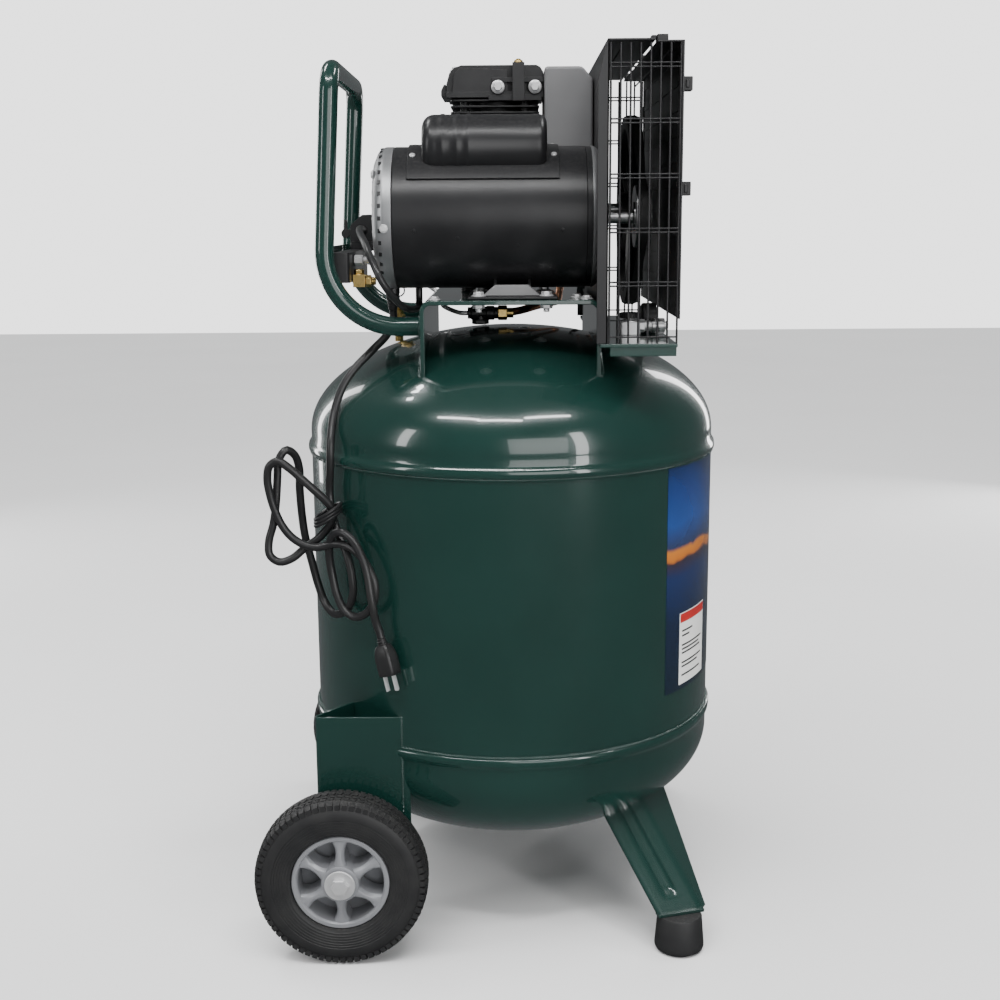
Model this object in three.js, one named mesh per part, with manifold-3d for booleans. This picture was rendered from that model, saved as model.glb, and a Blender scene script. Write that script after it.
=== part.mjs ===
// An upright air compressor: a vertical steel tank on two wheels and two feet, with a belt-driven
// single-cylinder pump and its motor on a saddle over the tank, a belt guard and a push handle.
// Millimetres, +Z up. +X is the guard's side, -Y is the side with the motor ("near").
import * as THREE from 'three';
import { mergeVertices } from 'three/addons/utils/BufferGeometryUtils.js';
import Module from 'manifold-3d';

const wasm = await Module();
wasm.setup();

// ---- driving dimensions ------------------------------------------------------------------------
const GAP = 0.3; // between pieces that touch

// tank
const TANK_R = 254;
const TANK_WALL = 3;
const HEAD_DEPTH = 127;
const TANGENT_LOW = 215;
const TANGENT_HIGH = 601;
const SEAM_LOW = 241; // where the heads' lips lap over the shell
const SEAM_HIGH = 582;
const LIP_HEIGHT = 12;
const LIP_PROUD = 4;
const TANK_SIDES = 32;
const TANK_TOP = TANGENT_HIGH + HEAD_DEPTH;
const MOTOR_SIDES = 32;

// wheels and their brackets
const WHEEL_R = 102;
const WHEEL_X = 52 - TANK_R;
const TYRE_WIDTH = 54;
const TYRE_BORE_R = 58;
const RIM_WALL = 7.5;
const HUB_BOSS_R = 23;
const SPOKES = 6;
const AXLE_R = 8;
const AXLE_PLAY = 0.4;
const BRACKET_Y = TANK_R - 35; // outer face of the side plate
const BRACKET_WALL = 3;
const BRACKET_BACK_X = 14 - TANK_R;
const BRACKET_BACK_AZIMUTH = 140.254; // where the back plate meets the tank, in degrees
const BRACKET_SINK = 6.9; // how far its end goes under the tank's skin before it is trimmed
const BRACKET_TOP = SEAM_LOW + 45;
const BRACKET_BOTTOM = WHEEL_R - 27;
const WHEEL_CLEARANCE = 6.5; // between bracket and tyre

// front legs
const LEG_WALL = 4;
const LEG_WIDTH = 58;
const LEG_FLANGE = 78;
const FOOT_HEIGHT = 45;
const FOOT_R_BOTTOM = 29.5;
const FOOT_R_TOP = 26;
const FOOT_X = TANK_R - 56;
const FOOT_Y = TANK_R - 18;
const LEG_AZIMUTH = -51.34; // where the leg meets the tank, in degrees
const LEG_HEAD_R = TANK_R - 36.3;
const LEG_HEAD_Z = TANGENT_LOW - 65;

// saddle over the tank
const SADDLE_X = 104;
const SADDLE_Y = 170;
const SADDLE_RISE = 40; // its top over the tank's
const SADDLE_TOP = TANK_TOP + SADDLE_RISE;
const SADDLE_WALL = 5;
const SADDLE_BEND = 12;
const SHELF_TOP = TANK_TOP - 5;
const SHELF_WALL = 4;

// push handle
const HANDLE_TUBE_R = 11;
const HANDLE_HALF_WIDTH = 138;
const HANDLE_FOOT_X = -220;
const HANDLE_HEAD_X = -203;
const HANDLE_LOW = SADDLE_TOP - 31;
const HANDLE_HIGH = HANDLE_LOW + 292;
const HANDLE_LOW_BEND = 85;
const HANDLE_HIGH_BEND = 30;

// motor
const MOTOR_Y = -77;
const MOTOR_Z = SADDLE_TOP + 93;
const MOTOR_R = 82.5;
const MOTOR_WALL = 3;
const MOTOR_BACK = -135;
const MOTOR_FRONT = 95;
const REAR_BELL_DEPTH = 25;
const SHAFT_R = 8;
const PULLEY_R = 37;
const COVER_R = 38; // capacitor cover
const COVER_Y = -108;
const COVER_Z = MOTOR_Z + 80;
const COVER_BACK = -101;
const COVER_FRONT = 43;

// pump
const PUMP_X = -18; // cylinder axis
const PUMP_Y = 90;
const CRANK_Z = SADDLE_TOP + 100;
const CRANK_R = 10;
const STROKE = 40;
const BORE_R = 30;
const CASE_TOP = CRANK_Z + 37;
const DECK_Z = CASE_TOP + 103; // underside of the cylinder head
const HEAD_TOP = DECK_Z + 40;
const HEAD_HALF = 58; // half of the cylinder head's width
const FIN_COUNT = 6;
const FLYWHEEL_R = 120;
const BELT_WIDTH = 10;
const BELT_THICK = 8;
const GROOVE_DEPTH = 7;
const BELT_X = 157; // middle plane of the belt

// belt guard
const GUARD_BACK = 107;
const GUARD_FRONT = 187;
const GUARD_Y = 228;
const GUARD_TOP = SADDLE_TOP + 279;
const GUARD_SHEET = 2;
const PANEL_BOTTOM = SHELF_TOP + 27;
const WIRE = 2.4;
const WIRE_COLUMNS = 8;
const WIRE_ROWS = 6;

// mains cord
const CORD_R = 4.8;

// ---- finishes ----------------------------------------------------------------------------------
const finish = (color, roughness, metalness) =>
  new THREE.MeshStandardMaterial({ color, roughness, metalness });
const GREEN = finish(0x16413a, 0.25, 0.1);
const BLACK = finish(0x1b1c1e, 0.45, 0.2);
const SATIN = finish(0x3a3b3d, 0.5, 0.2);
const RUBBER = finish(0x1d1d1f, 0.85, 0);
const SILVER = finish(0x9a9ca0, 0.4, 0.6);
const ZINC = finish(0xb9bcc0, 0.3, 0.9);
const BRASS = finish(0xb08d3e, 0.3, 0.9);
const COPPER = finish(0xb06a42, 0.3, 0.9);
const STEEL = finish(0x8d9095, 0.35, 0.9);

// ---- helpers -----------------------------------------------------------------------------------
const group = new THREE.Group();
const { PI, cos, sin, sqrt, hypot } = Math;
const DEGREE = PI / 180;
const at = (x, y, z) => new THREE.Vector3(x, y, z);

// The same surface with shared corners merged, slivers dropped and its faces pointing out.
function closed(geometry) {
  const bare = geometry.clone();
  for (const name of Object.keys(bare.attributes)) if (name !== 'position') bare.deleteAttribute(name);
  const merged = mergeVertices(bare, 1e-4);
  const p = merged.attributes.position;
  const old = merged.index.array;
  const faces = [];
  let volume = 0;
  const [a, b, c] = [at(), at(), at()];
  for (let i = 0; i < old.length; i += 3) {
    const [i0, i1, i2] = [old[i], old[i + 1], old[i + 2]];
    if (i0 === i1 || i1 === i2 || i2 === i0) continue;
    faces.push(i0, i1, i2);
    a.fromBufferAttribute(p, i0);
    b.fromBufferAttribute(p, i1);
    c.fromBufferAttribute(p, i2);
    volume += a.dot(b.cross(c));
  }
  if (volume < 0) faces.reverse();
  merged.setIndex(faces);
  return merged;
}

function solid(geometry) {
  const g = closed(geometry);
  return new wasm.Manifold(new wasm.Mesh({
    numProp: 3,
    vertProperties: new Float32Array(g.attributes.position.array),
    triVerts: new Uint32Array(g.index.array),
  }));
}

function geometryOf(made) {
  const mesh = made.getMesh();
  return new THREE.BufferGeometry()
    .setAttribute('position', new THREE.BufferAttribute(new Float32Array(mesh.vertProperties), 3))
    .setIndex(new THREE.BufferAttribute(new Uint32Array(mesh.triVerts), 1));
}

const join = (first, ...rest) => geometryOf(rest.reduce((all, g) => all.add(solid(g)), solid(first)));
const cut = (first, ...rest) => geometryOf(rest.reduce((all, g) => all.subtract(solid(g)), solid(first)));

function add(name, geometry, material) {
  const shown = closed(geometry);
  shown.computeVertexNormals();
  const mesh = new THREE.Mesh(shown, material);
  mesh.name = name;
  group.add(mesh);
}

const box = (x0, x1, y0, y1, z0, z1) => new THREE.BoxGeometry(x1 - x0, y1 - y0, z1 - z0)
  .translate((x0 + x1) / 2, (y0 + y1) / 2, (z0 + z1) / 2);

// Turns a geometry made along Z so that it lies along another axis.
function lay(geometry, axis) {
  if (axis === 'x') return geometry.rotateY(PI / 2);
  if (axis === 'y') return geometry.rotateX(-PI / 2);
  return geometry;
}

// A body of revolution: profile is a closed outline of [radius, height along the axis].
function turned(profile, sides, axis = 'z') {
  const ring = [...profile, profile[0]].map(([r, h]) => new THREE.Vector2(r, h));
  return lay(new THREE.LatheGeometry(ring, sides).rotateX(PI / 2), axis);
}

// A cylinder, or a tube when it has a bore, from a to b along its axis through the given centre.
function barrel(r, a, b, axis, [x, y, z], sides = 24, bore = 0) {
  return turned([[bore, a], [r, a], [r, b], [bore, b]], sides, axis).translate(x, y, z);
}

// An outline of [x, y] points pulled up along Z from z0 to z1, with round holes [x, y, r].
function pulled(points, z0, z1, holes = []) {
  const shape = new THREE.Shape(points.map(([x, y]) => new THREE.Vector2(x, y)));
  shape.holes = holes.map(([x, y, r]) => new THREE.Path().absarc(x, y, r, 0, 2 * PI, true));
  const options = { depth: z1 - z0, bevelEnabled: false, curveSegments: 8 };
  return new THREE.ExtrudeGeometry(shape, options).translate(0, 0, z0);
}

// An outline of [x, z] points pulled along Y, and one of [y, z] points pulled along X.
const pulledY = (points, y0, y1, holes) => pulled(points, -y1, -y0, holes).rotateX(PI / 2);
const pulledX = (points, x0, x1, holes) => pulled(points, x0, x1, holes).rotateX(PI / 2).rotateZ(PI / 2);

// The points of a path with its inner corners rounded to the given radius.
function rounded(points, radii, steps = 5) {
  const path = [points[0]];
  for (let i = 1; i < points.length - 1; i += 1) {
    const corner = points[i];
    const back = points[i - 1].clone().sub(corner).normalize();
    const on = points[i + 1].clone().sub(corner).normalize();
    const half = back.angleTo(on) / 2;
    const radius = Array.isArray(radii) ? radii[i - 1] : radii;
    const bisector = back.clone().add(on).normalize();
    const centre = corner.clone().addScaledVector(bisector, radius / sin(half));
    const start = corner.clone().addScaledVector(back, radius / Math.tan(half)).sub(centre);
    const turn = PI - 2 * half;
    const side = bisector.clone().negate().multiplyScalar(radius);
    const across = side.clone().sub(start.clone().multiplyScalar(cos(turn / 2))).divideScalar(sin(turn / 2));
    for (let k = 0; k <= steps; k += 1) {
      const angle = (turn * k) / steps;
      path.push(centre.clone().addScaledVector(start, cos(angle)).addScaledVector(across, sin(angle)));
    }
  }
  path.push(points[points.length - 1]);
  return path;
}

// Outline of a folded sheet: the flat line of its outer face, offset to one side by its wall.
function foldedOutline(corners, wall, bend) {
  const flat = corners.map(([x, y]) => at(x, y, 0));
  const outer = rounded(flat, bend);
  const inner = outer.map((p, i) => {
    const before = outer[Math.max(i - 1, 0)];
    const after = outer[Math.min(i + 1, outer.length - 1)];
    const along = after.clone().sub(before).normalize();
    return p.clone().add(at(-along.y * wall, along.x * wall, 0));
  });
  return [...outer, ...inner.reverse()].map((p) => [p.x, p.y]);
}

// A round bar or tube of radius r along a smooth line through the points.
function hose(points, r, steps, sides = 10) {
  const section = new THREE.Shape(Array.from({ length: sides }, (_, i) => {
    const angle = (2 * PI * i) / sides;
    return new THREE.Vector2(r * cos(angle), r * sin(angle));
  }));
  const path = new THREE.CatmullRomCurve3(points, false, 'centripetal');
  return new THREE.ExtrudeGeometry(section, { steps, extrudePath: path, bevelEnabled: false });
}

// A flat plate given by its corners in space and the vector that its wall takes it along.
function plate(corners, wall) {
  const count = corners.length;
  const points = [...corners, ...corners.map((p) => p.clone().add(wall))];
  const faces = [];
  for (let i = 1; i < count - 1; i += 1) faces.push(0, i + 1, i, count, count + i, count + i + 1);
  for (let i = 0; i < count; i += 1) {
    const j = (i + 1) % count;
    faces.push(i, j, count + j, i, count + j, count + i);
  }
  return new THREE.BufferGeometry().setFromPoints(points).setIndex(faces);
}

// ---- tank --------------------------------------------------------------------------------------
// Height of an elliptical head of the tank above its tangent line, at a distance from the axis.
const crown = (r, radius = TANK_R, depth = HEAD_DEPTH) => depth * sqrt(1 - (r / radius) ** 2);

// Points of a head's curve from its rim to its middle, as [radius, height above the tangent line].
function headCurve(radius, depth, steps) {
  const angles = Array.from({ length: steps }, (_, i) => ((i + 1) * PI) / 2 / steps);
  return angles.map((a) => [a > 1.57 ? 0 : radius * cos(a), depth * sin(a)]);
}

// One dished head with its skirt and the lip that laps over the shell; up is +1 or -1.
function head(tangent, seam, up) {
  const inner = TANK_R - TANK_WALL;
  const lipEdge = seam - (up * LIP_HEIGHT) / 2;
  const lipTop = seam + (up * LIP_HEIGHT) / 2;
  const outside = headCurve(TANK_R, HEAD_DEPTH, 6).map(([r, h]) => [r, tangent + up * h]);
  const inside = headCurve(inner, HEAD_DEPTH - TANK_WALL, 4).map(([r, h]) => [r, tangent + up * h]);
  return turned([
    [inner, seam + up * GAP],
    [TANK_R + GAP, seam + up * GAP],
    [TANK_R + GAP, lipEdge],
    [TANK_R + LIP_PROUD, lipEdge + up * 2],
    [TANK_R + LIP_PROUD, lipTop - up * 2],
    [TANK_R, lipTop],
    [TANK_R, tangent],
    ...outside,
    ...inside.reverse(),
    [inner, tangent],
  ], TANK_SIDES);
}

const shellWall = [[TANK_R - TANK_WALL, SEAM_LOW], [TANK_R, SEAM_LOW], [TANK_R, SEAM_HIGH]];
add('tank_shell', turned([...shellWall, [TANK_R - TANK_WALL, SEAM_HIGH]], TANK_SIDES), GREEN);
add('tank_top_head', head(TANGENT_HIGH, SEAM_HIGH, 1), GREEN);
add('tank_bottom_head', head(TANGENT_LOW, SEAM_LOW, -1), GREEN);

// The space that the tank takes up, grown by a gap, for trimming what is welded to it.
function tankSpace(grow) {
  const r = TANK_R + grow;
  const lip = TANK_R + LIP_PROUD + grow;
  const low = headCurve(r, HEAD_DEPTH + grow, 6).map(([x, h]) => [x, TANGENT_LOW - h]);
  const high = headCurve(r, HEAD_DEPTH + grow, 6).map(([x, h]) => [x, TANGENT_HIGH + h]);
  const ring = (z) => [
    [r, z - LIP_HEIGHT / 2 - grow],
    [lip, z - LIP_HEIGHT / 2 - grow],
    [lip, z + LIP_HEIGHT / 2 + grow],
    [r, z + LIP_HEIGHT / 2 + grow],
  ];
  const outline = [...low.reverse(), [r, TANGENT_LOW], ...ring(SEAM_LOW), ...ring(SEAM_HIGH)];
  return turned([...outline, [r, TANGENT_HIGH], ...high], TANK_SIDES);
}
const TRIM = tankSpace(0.5);

// drain cock under the tank's lowest point
const DRAIN_Z = TANGENT_LOW - HEAD_DEPTH - GAP;
add('drain_valve_body', join(
  barrel(9, DRAIN_Z - 14, DRAIN_Z, 'z', [0, 0, 0], 12),
  barrel(6, DRAIN_Z - 30, DRAIN_Z - 12, 'z', [0, 0, 0], 12),
), BRASS);
add('drain_valve_handle', join(
  barrel(10, DRAIN_Z - 24, DRAIN_Z - 18, 'z', [0, 0, 0], 12, 6.5),
  box(8, 24, -2.5, 2.5, DRAIN_Z - 24, DRAIN_Z - 18),
), BRASS);

// ---- wheels, brackets and legs, one of each on either side --------------------------------------
const sides = [['near', -1], ['far', 1]];
const tyreIn = BRACKET_Y + WHEEL_CLEARANCE;
const tyreMid = tyreIn + TYRE_WIDTH / 2;
const tyreOut = tyreIn + TYRE_WIDTH;

function wheelBracket(side) {
  const reach = sqrt(TANK_R ** 2 - BRACKET_Y ** 2);
  const sunk = TANK_R - BRACKET_SINK;
  const end = [sunk * cos(BRACKET_BACK_AZIMUTH * DEGREE), sunk * sin(BRACKET_BACK_AZIMUTH * DEGREE)];
  const corners = [[-reach + 10, BRACKET_Y], [BRACKET_BACK_X, BRACKET_Y], end];
  const outline = foldedOutline(corners.map(([x, y]) => [x, -y]), -BRACKET_WALL, 6);
  const sheet = pulled(outline.map(([x, y]) => [x, -side * y]), BRACKET_BOTTOM, BRACKET_TOP);
  const hole = barrel(AXLE_R + GAP, -400, 400, 'y', [WHEEL_X, 0, WHEEL_R], 16);
  return cut(sheet, TRIM, hole);
}

// Half the tyre's section mirrored: crown, shoulder, sidewall and bead, as [radius, across].
function tyre(side) {
  const half = TYRE_WIDTH / 2;
  const right = [
    [WHEEL_R, half - 13], [WHEEL_R - 5, half - 4], [WHEEL_R - 16, half],
    [TYRE_BORE_R + 12, half], [TYRE_BORE_R, half - 7],
  ];
  const left = right.map(([r, h]) => [r, -h]).reverse();
  return turned([...right, ...left], 32, 'y').translate(WHEEL_X, side * tyreMid, WHEEL_R);
}

function wheelHub(side) {
  const half = TYRE_WIDTH / 2;
  const rimR = TYRE_BORE_R - GAP;
  const centre = [0, 0, 0];
  const rim = barrel(rimR, -half + 8, half - 8, 'y', centre, 32, rimR - RIM_WALL);
  const boss = barrel(HUB_BOSS_R, -half + 1, half - 3, 'y', centre, 16);
  const spokes = Array.from({ length: SPOKES }, (_, i) => box(-7, 7, 0, half - 10, 12, rimR - 4)
    .rotateY((i * 2 * PI) / SPOKES));
  const bore = solid(barrel(AXLE_R + AXLE_PLAY, -99, 99, 'y', centre, 12));
  const made = solid(join(rim, boss, ...spokes)).subtract(bore);
  const turn = side < 0 ? PI : 0;
  return geometryOf(made).rotateZ(turn).translate(WHEEL_X, side * tyreMid, WHEEL_R);
}

// Shoulder bolt with its nut inside the bracket, a collar to the wheel and a washer under the head.
function axleBolt(side) {
  const out = tyreOut - 3 + GAP;
  const steps = [
    [0, BRACKET_Y - BRACKET_WALL - 14],
    [13, BRACKET_Y - BRACKET_WALL - 14], [13, BRACKET_Y - BRACKET_WALL - GAP],
    [AXLE_R, BRACKET_Y - BRACKET_WALL - GAP], [AXLE_R, BRACKET_Y + GAP],
    [13, BRACKET_Y + GAP], [13, tyreIn + 1 - GAP],
    [AXLE_R, tyreIn + 1 - GAP], [AXLE_R, out],
    [18, out], [18, out + 2.5], [11, out + 2.5], [11, out + 9], [0, out + 9],
  ];
  return turned(steps.map(([r, y]) => [r, side * y]), 12, 'y').translate(WHEEL_X, 0, WHEEL_R);
}

// A pressed leg: a broad face, a flange that tapers to the foot, and a flat plate over the foot.
function frontLeg(side) {
  const face = -74 * DEGREE; // where the broad face looks
  const flange = -26 * DEGREE;
  const azimuth = LEG_AZIMUTH * DEGREE;
  const across = at(-sin(face), cos(face), 0);
  const back = at(-sin(flange), cos(flange), 0);
  const inward = at(-cos(face), -sin(face), 0).multiplyScalar(LEG_WALL);
  const inwardFlange = at(-cos(flange), -sin(flange), 0).multiplyScalar(LEG_WALL);
  const head = at(LEG_HEAD_R * cos(azimuth), LEG_HEAD_R * sin(azimuth), LEG_HEAD_Z);
  const foot = at(FOOT_X + 1, -FOOT_Y - 3, FOOT_HEIGHT + 2);
  const edge = (middle, shift) => middle.clone().addScaledVector(across, shift);
  const stretch = (low, high) => low.clone().lerp(high, 1.35); // up into the tank, then trimmed
  const [lowL, lowR] = [edge(foot, -LEG_WIDTH / 2), edge(foot, LEG_WIDTH / 2)];
  const [highL, highR] = [edge(head, -LEG_WIDTH / 2), edge(head, LEG_WIDTH / 2)];
  const highF = highR.clone().addScaledVector(back, LEG_FLANGE);
  const lowF = lowR.clone().addScaledVector(back, 12);
  const [topL, topR] = [stretch(lowL, highL), stretch(lowR, highR)];
  const sole = [[-1, 14], [1, 14], [1, -30], [-1, -30]].map(([u, v]) => edge(foot, (u * LEG_WIDTH) / 2)
    .addScaledVector(inward, -v / LEG_WALL).setZ(FOOT_HEIGHT));
  const pieces = [
    plate([lowL, lowR, topR, topL], inward),
    plate([lowR, lowF, stretch(lowF, highF), topR], inwardFlange),
    plate(sole, at(0, 0, LEG_WALL)),
  ];
  const made = solid(cut(join(...pieces), TRIM));
  return side < 0 ? geometryOf(made) : geometryOf(made.mirror([0, 1, 0]));
}

function rubberFoot(side) {
  const profile = [
    [0, 0], [FOOT_R_BOTTOM - 5, 0], [FOOT_R_BOTTOM, 5], [FOOT_R_TOP, FOOT_HEIGHT - GAP],
    [0, FOOT_HEIGHT - GAP],
  ];
  return turned(profile, 24).translate(FOOT_X, side * FOOT_Y, 0);
}

for (const [name, side] of sides) {
  add(`wheel_bracket_${name}`, wheelBracket(side), GREEN);
  add(`axle_bolt_${name}`, axleBolt(side), ZINC);
  add(`tyre_${name}`, tyre(side), RUBBER);
  add(`wheel_hub_${name}`, wheelHub(side), SILVER);
  add(`front_leg_${name}`, frontLeg(side), GREEN);
  add(`rubber_foot_${name}`, rubberFoot(side), RUBBER);
}

// ---- saddle with the guard's shelf ---------------------------------------------------------------
const saddleEnd = TANGENT_HIGH + crown(hypot(SADDLE_X, SADDLE_Y)) - 12;
const saddleLine = [
  [SADDLE_X, saddleEnd], [SADDLE_X, SADDLE_TOP], [-SADDLE_X, SADDLE_TOP], [-SADDLE_X, saddleEnd],
];
add('saddle_plate', cut(
  join(
    pulledY(foldedOutline(saddleLine, SADDLE_WALL, SADDLE_BEND), -SADDLE_Y, SADDLE_Y),
    box(SADDLE_X - SADDLE_WALL, GUARD_FRONT - 2, -GUARD_Y, GUARD_Y, SHELF_TOP - SHELF_WALL, SHELF_TOP),
  ),
  TRIM,
), GREEN);

// ---- push handle ---------------------------------------------------------------------------------
const w = HANDLE_HALF_WIDTH;
const handleLine = rounded([
  at(-SADDLE_X - GAP, -w, HANDLE_LOW), at(HANDLE_FOOT_X, -w, HANDLE_LOW),
  at(HANDLE_HEAD_X, -w, HANDLE_HIGH), at(HANDLE_HEAD_X, w, HANDLE_HIGH),
  at(HANDLE_FOOT_X, w, HANDLE_LOW), at(-SADDLE_X - GAP, w, HANDLE_LOW),
], [HANDLE_LOW_BEND, HANDLE_HIGH_BEND, HANDLE_HIGH_BEND, HANDLE_LOW_BEND], 6);
add('handle_tube', hose(handleLine, HANDLE_TUBE_R, 56, 8), GREEN);

const crossHalf = HANDLE_HALF_WIDTH - HANDLE_TUBE_R - 0.8;
const crossLow = HANDLE_LOW + 49;
const crossHigh = crossLow + 42;
const crossHoles = [-90, -45, 0, 45, 90].map((y) => [y, crossLow + 26, 6]);
const crossOutline = [[-crossHalf, crossLow], [crossHalf, crossLow], [crossHalf, crossHigh], [-crossHalf, crossHigh]];
add('handle_cross_plate', pulledX(crossOutline, -218, -215, crossHoles), GREEN);

// ---- controls at the back ------------------------------------------------------------------------
const manifoldY = [-crossHalf + 2, 92];
const switchY = [52, crossHalf - 3];
const switchSeat = crossLow + 46;
add('control_manifold', join(
  box(-208, -188, ...manifoldY, crossLow + 1, crossLow + 36),
  box(-206, -172, ...switchY, crossLow + 35, switchSeat),
), BLACK);
const switchOutline = [
  [-206, switchSeat + GAP], [-172, switchSeat + GAP], [-172, switchSeat + 34], [-190, switchSeat + 34],
  [-206, switchSeat + 20],
];
add('pressure_switch_cover', pulledY(switchOutline, ...switchY), SATIN);
add('switch_lever', join(
  barrel(6, 66, 72, 'y', [-213, 0, switchSeat + 10], 12),
  box(-215, -211, 66, 72, switchSeat + 10, switchSeat + 28),
), BLACK);

// safety valve on the tank's shoulder, with a pull ring
const SAFETY = [-146, 62];
const safetySeat = TANGENT_HIGH + crown(hypot(...SAFETY) - 6) + GAP; // at its edge next to the tank
const safetyTop = safetySeat + 49;
add('safety_valve_body', join(
  barrel(6, safetySeat, safetyTop - 16, 'z', [...SAFETY, 0], 12),
  barrel(9, safetyTop - 18, safetyTop, 'z', [...SAFETY, 0], 6),
), BRASS);
add('safety_valve_ring', join(
  barrel(2, safetyTop + GAP, safetyTop + 9, 'z', [...SAFETY, 0], 8),
  barrel(9, -1.2, 1.2, 'y', [SAFETY[0], SAFETY[1], safetyTop + 17], 16, 6.6),
), ZINC);

// check valve on top of the tank, under the saddle, with the thin tube to the pressure switch
add('check_valve', join(
  barrel(11, TANK_TOP + 1, TANK_TOP + 8, 'z', [-38, 0, 0], 12),
  barrel(9, -54, -16, 'x', [0, 0, TANK_TOP + 15], 12),
), BLACK);
const portZ = DECK_Z + 26;
add('discharge_tube', hose([
  at(-15, 0, TANK_TOP + 15), at(-8, 0, TANK_TOP + 15), at(10, 6, TANK_TOP + 17),
  at(34, 40, TANK_TOP + 21), at(56, 110, TANK_TOP + 21), at(66, 160, TANK_TOP + 22),
  at(70, 192, TANK_TOP + 34), at(66, 206, CRANK_Z - 68), at(40, 208, CRANK_Z + 32),
  at(10, 206, portZ - 44), at(-6, 198, portZ - 10), at(-14, 178, portZ), at(PUMP_X, 158, portZ),
  at(PUMP_X, PUMP_Y + HEAD_HALF + GAP, portZ),
], 5, 36, 6), COPPER);
const switchEnd = switchY[1] + GAP;
const switchPort = switchSeat - 4;
add('unloader_tube', hose([
  at(-54 - GAP, 0, TANK_TOP + 15), at(-62, 0, TANK_TOP + 15), at(-84, 40, TANK_TOP + 20),
  at(-90, 100, TANK_TOP + 22), at(-90, 160, TANK_TOP + 22), at(-96, 184, TANK_TOP + 28),
  at(-116, 190, SADDLE_TOP + 2), at(-144, 178, switchPort - 34), at(-168, 158, switchPort - 10),
  at(-182, 142, switchPort), at(-184, switchEnd + 8, switchPort), at(-184, switchEnd, switchPort),
], 3, 32, 6), SILVER);

// outlet at the front: regulator, knob, quick coupler and gauge
const OUTLET_X = 142; // middle of the regulator
const OUTLET_Y = -100;
const NIPPLE_R = 6;
const outletZ = SHELF_TOP + GAP;
const couplerZ = outletZ + 10;
const outletAxis = [0, OUTLET_Y, couplerZ];
add('regulator_body', join(
  box(OUTLET_X - 12, OUTLET_X + 12, OUTLET_Y - 12, OUTLET_Y + 12, outletZ, outletZ + 15),
  barrel(5, outletZ + 14, outletZ + 19, 'z', [OUTLET_X, OUTLET_Y, 0], 12),
  barrel(NIPPLE_R, OUTLET_X + 11, OUTLET_X + 46, 'x', outletAxis, 12),
  barrel(8, OUTLET_X + 11, OUTLET_X + 18, 'x', outletAxis, 12),
), ZINC);
add('regulator_knob', barrel(13, outletZ + 19 + GAP, outletZ + 26, 'z', [OUTLET_X, OUTLET_Y, 0], 16), BLACK);
const sleeve = barrel(9, OUTLET_X + 26, OUTLET_X + 42, 'x', outletAxis, 16, NIPPLE_R + AXLE_PLAY);
add('coupler_sleeve', sleeve, STEEL);
const GAUGE = [0, -50, outletZ + 17];
add('gauge_body', join(
  turned([[0, 160], [17, 160], [17, 178], [15, 178], [15, 172], [0, 172]], 24, 'x').translate(...GAUGE),
  box(162, 170, -53, -47, outletZ, outletZ + 2),
), BLACK);
add('gauge_needle', join(
  barrel(2, 173, 176, 'x', GAUGE, 10),
  box(174, 175, -50.8, -49.2, GAUGE[2] - 3, GAUGE[2] + 13),
), STEEL);

// ---- motor ---------------------------------------------------------------------------------------
const motorAxis = [0, MOTOR_Y, MOTOR_Z];
const motorInner = MOTOR_R - MOTOR_WALL;
add('motor_shell', barrel(MOTOR_R, MOTOR_BACK, MOTOR_FRONT, 'x', motorAxis, MOTOR_SIDES, motorInner), BLACK);
const bellBack = MOTOR_BACK - REAR_BELL_DEPTH;
add('motor_rear_bell', turned([
  [SHAFT_R + AXLE_PLAY, bellBack + 5], [SHAFT_R + AXLE_PLAY + 8, bellBack], [60, bellBack],
  [76, bellBack + 6], [MOTOR_R, bellBack + 12], [MOTOR_R, MOTOR_BACK - GAP],
  [70, MOTOR_BACK - GAP], [64, MOTOR_BACK - 6], [22, MOTOR_BACK - 10], [20, MOTOR_BACK - GAP],
  [SHAFT_R + AXLE_PLAY, MOTOR_BACK - GAP],
], MOTOR_SIDES, 'x').translate(...motorAxis), SILVER);
add('motor_front_bell', turned([
  [SHAFT_R + AXLE_PLAY, MOTOR_FRONT + GAP], [MOTOR_R, MOTOR_FRONT + GAP],
  [MOTOR_R - 4, MOTOR_FRONT + 9], [SHAFT_R + AXLE_PLAY, MOTOR_FRONT + 9],
], MOTOR_SIDES, 'x').translate(...motorAxis), SILVER);
const stator = barrel(motorInner - GAP, MOTOR_BACK + 45, MOTOR_FRONT - 40, 'x', motorAxis, MOTOR_SIDES, 48);
add('motor_stator', stator, STEEL);
add('motor_rotor', turned([
  [0, bellBack + 2], [SHAFT_R, bellBack + 2], [SHAFT_R, MOTOR_BACK + 45], [46, MOTOR_BACK + 45],
  [46, MOTOR_FRONT - 40], [SHAFT_R, MOTOR_FRONT - 40], [SHAFT_R, BELT_X + 12], [0, BELT_X + 12],
], 24, 'x').translate(...motorAxis), STEEL);

// a grooved wheel for the belt, on a hub: groove and flanges are centred on the belt
function pulleyProfile(outer, groove, bore, rimHalf, hubHalf) {
  const half = BELT_WIDTH / 2 + 0.5;
  return [
    [bore, -hubHalf], [bore + 9, -hubHalf], [bore + 9, -rimHalf], [outer, -rimHalf], [outer, -half],
    [groove, -half], [groove, half], [outer, half], [outer, rimHalf], [bore + 9, rimHalf],
    [bore + 9, hubHalf], [bore, hubHalf],
  ];
}
const pulley = pulleyProfile(PULLEY_R, PULLEY_R - GROOVE_DEPTH, SHAFT_R + GAP, 9, 11);
add('motor_pulley', turned(pulley, 20, 'x').translate(BELT_X, MOTOR_Y, MOTOR_Z), STEEL);

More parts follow.
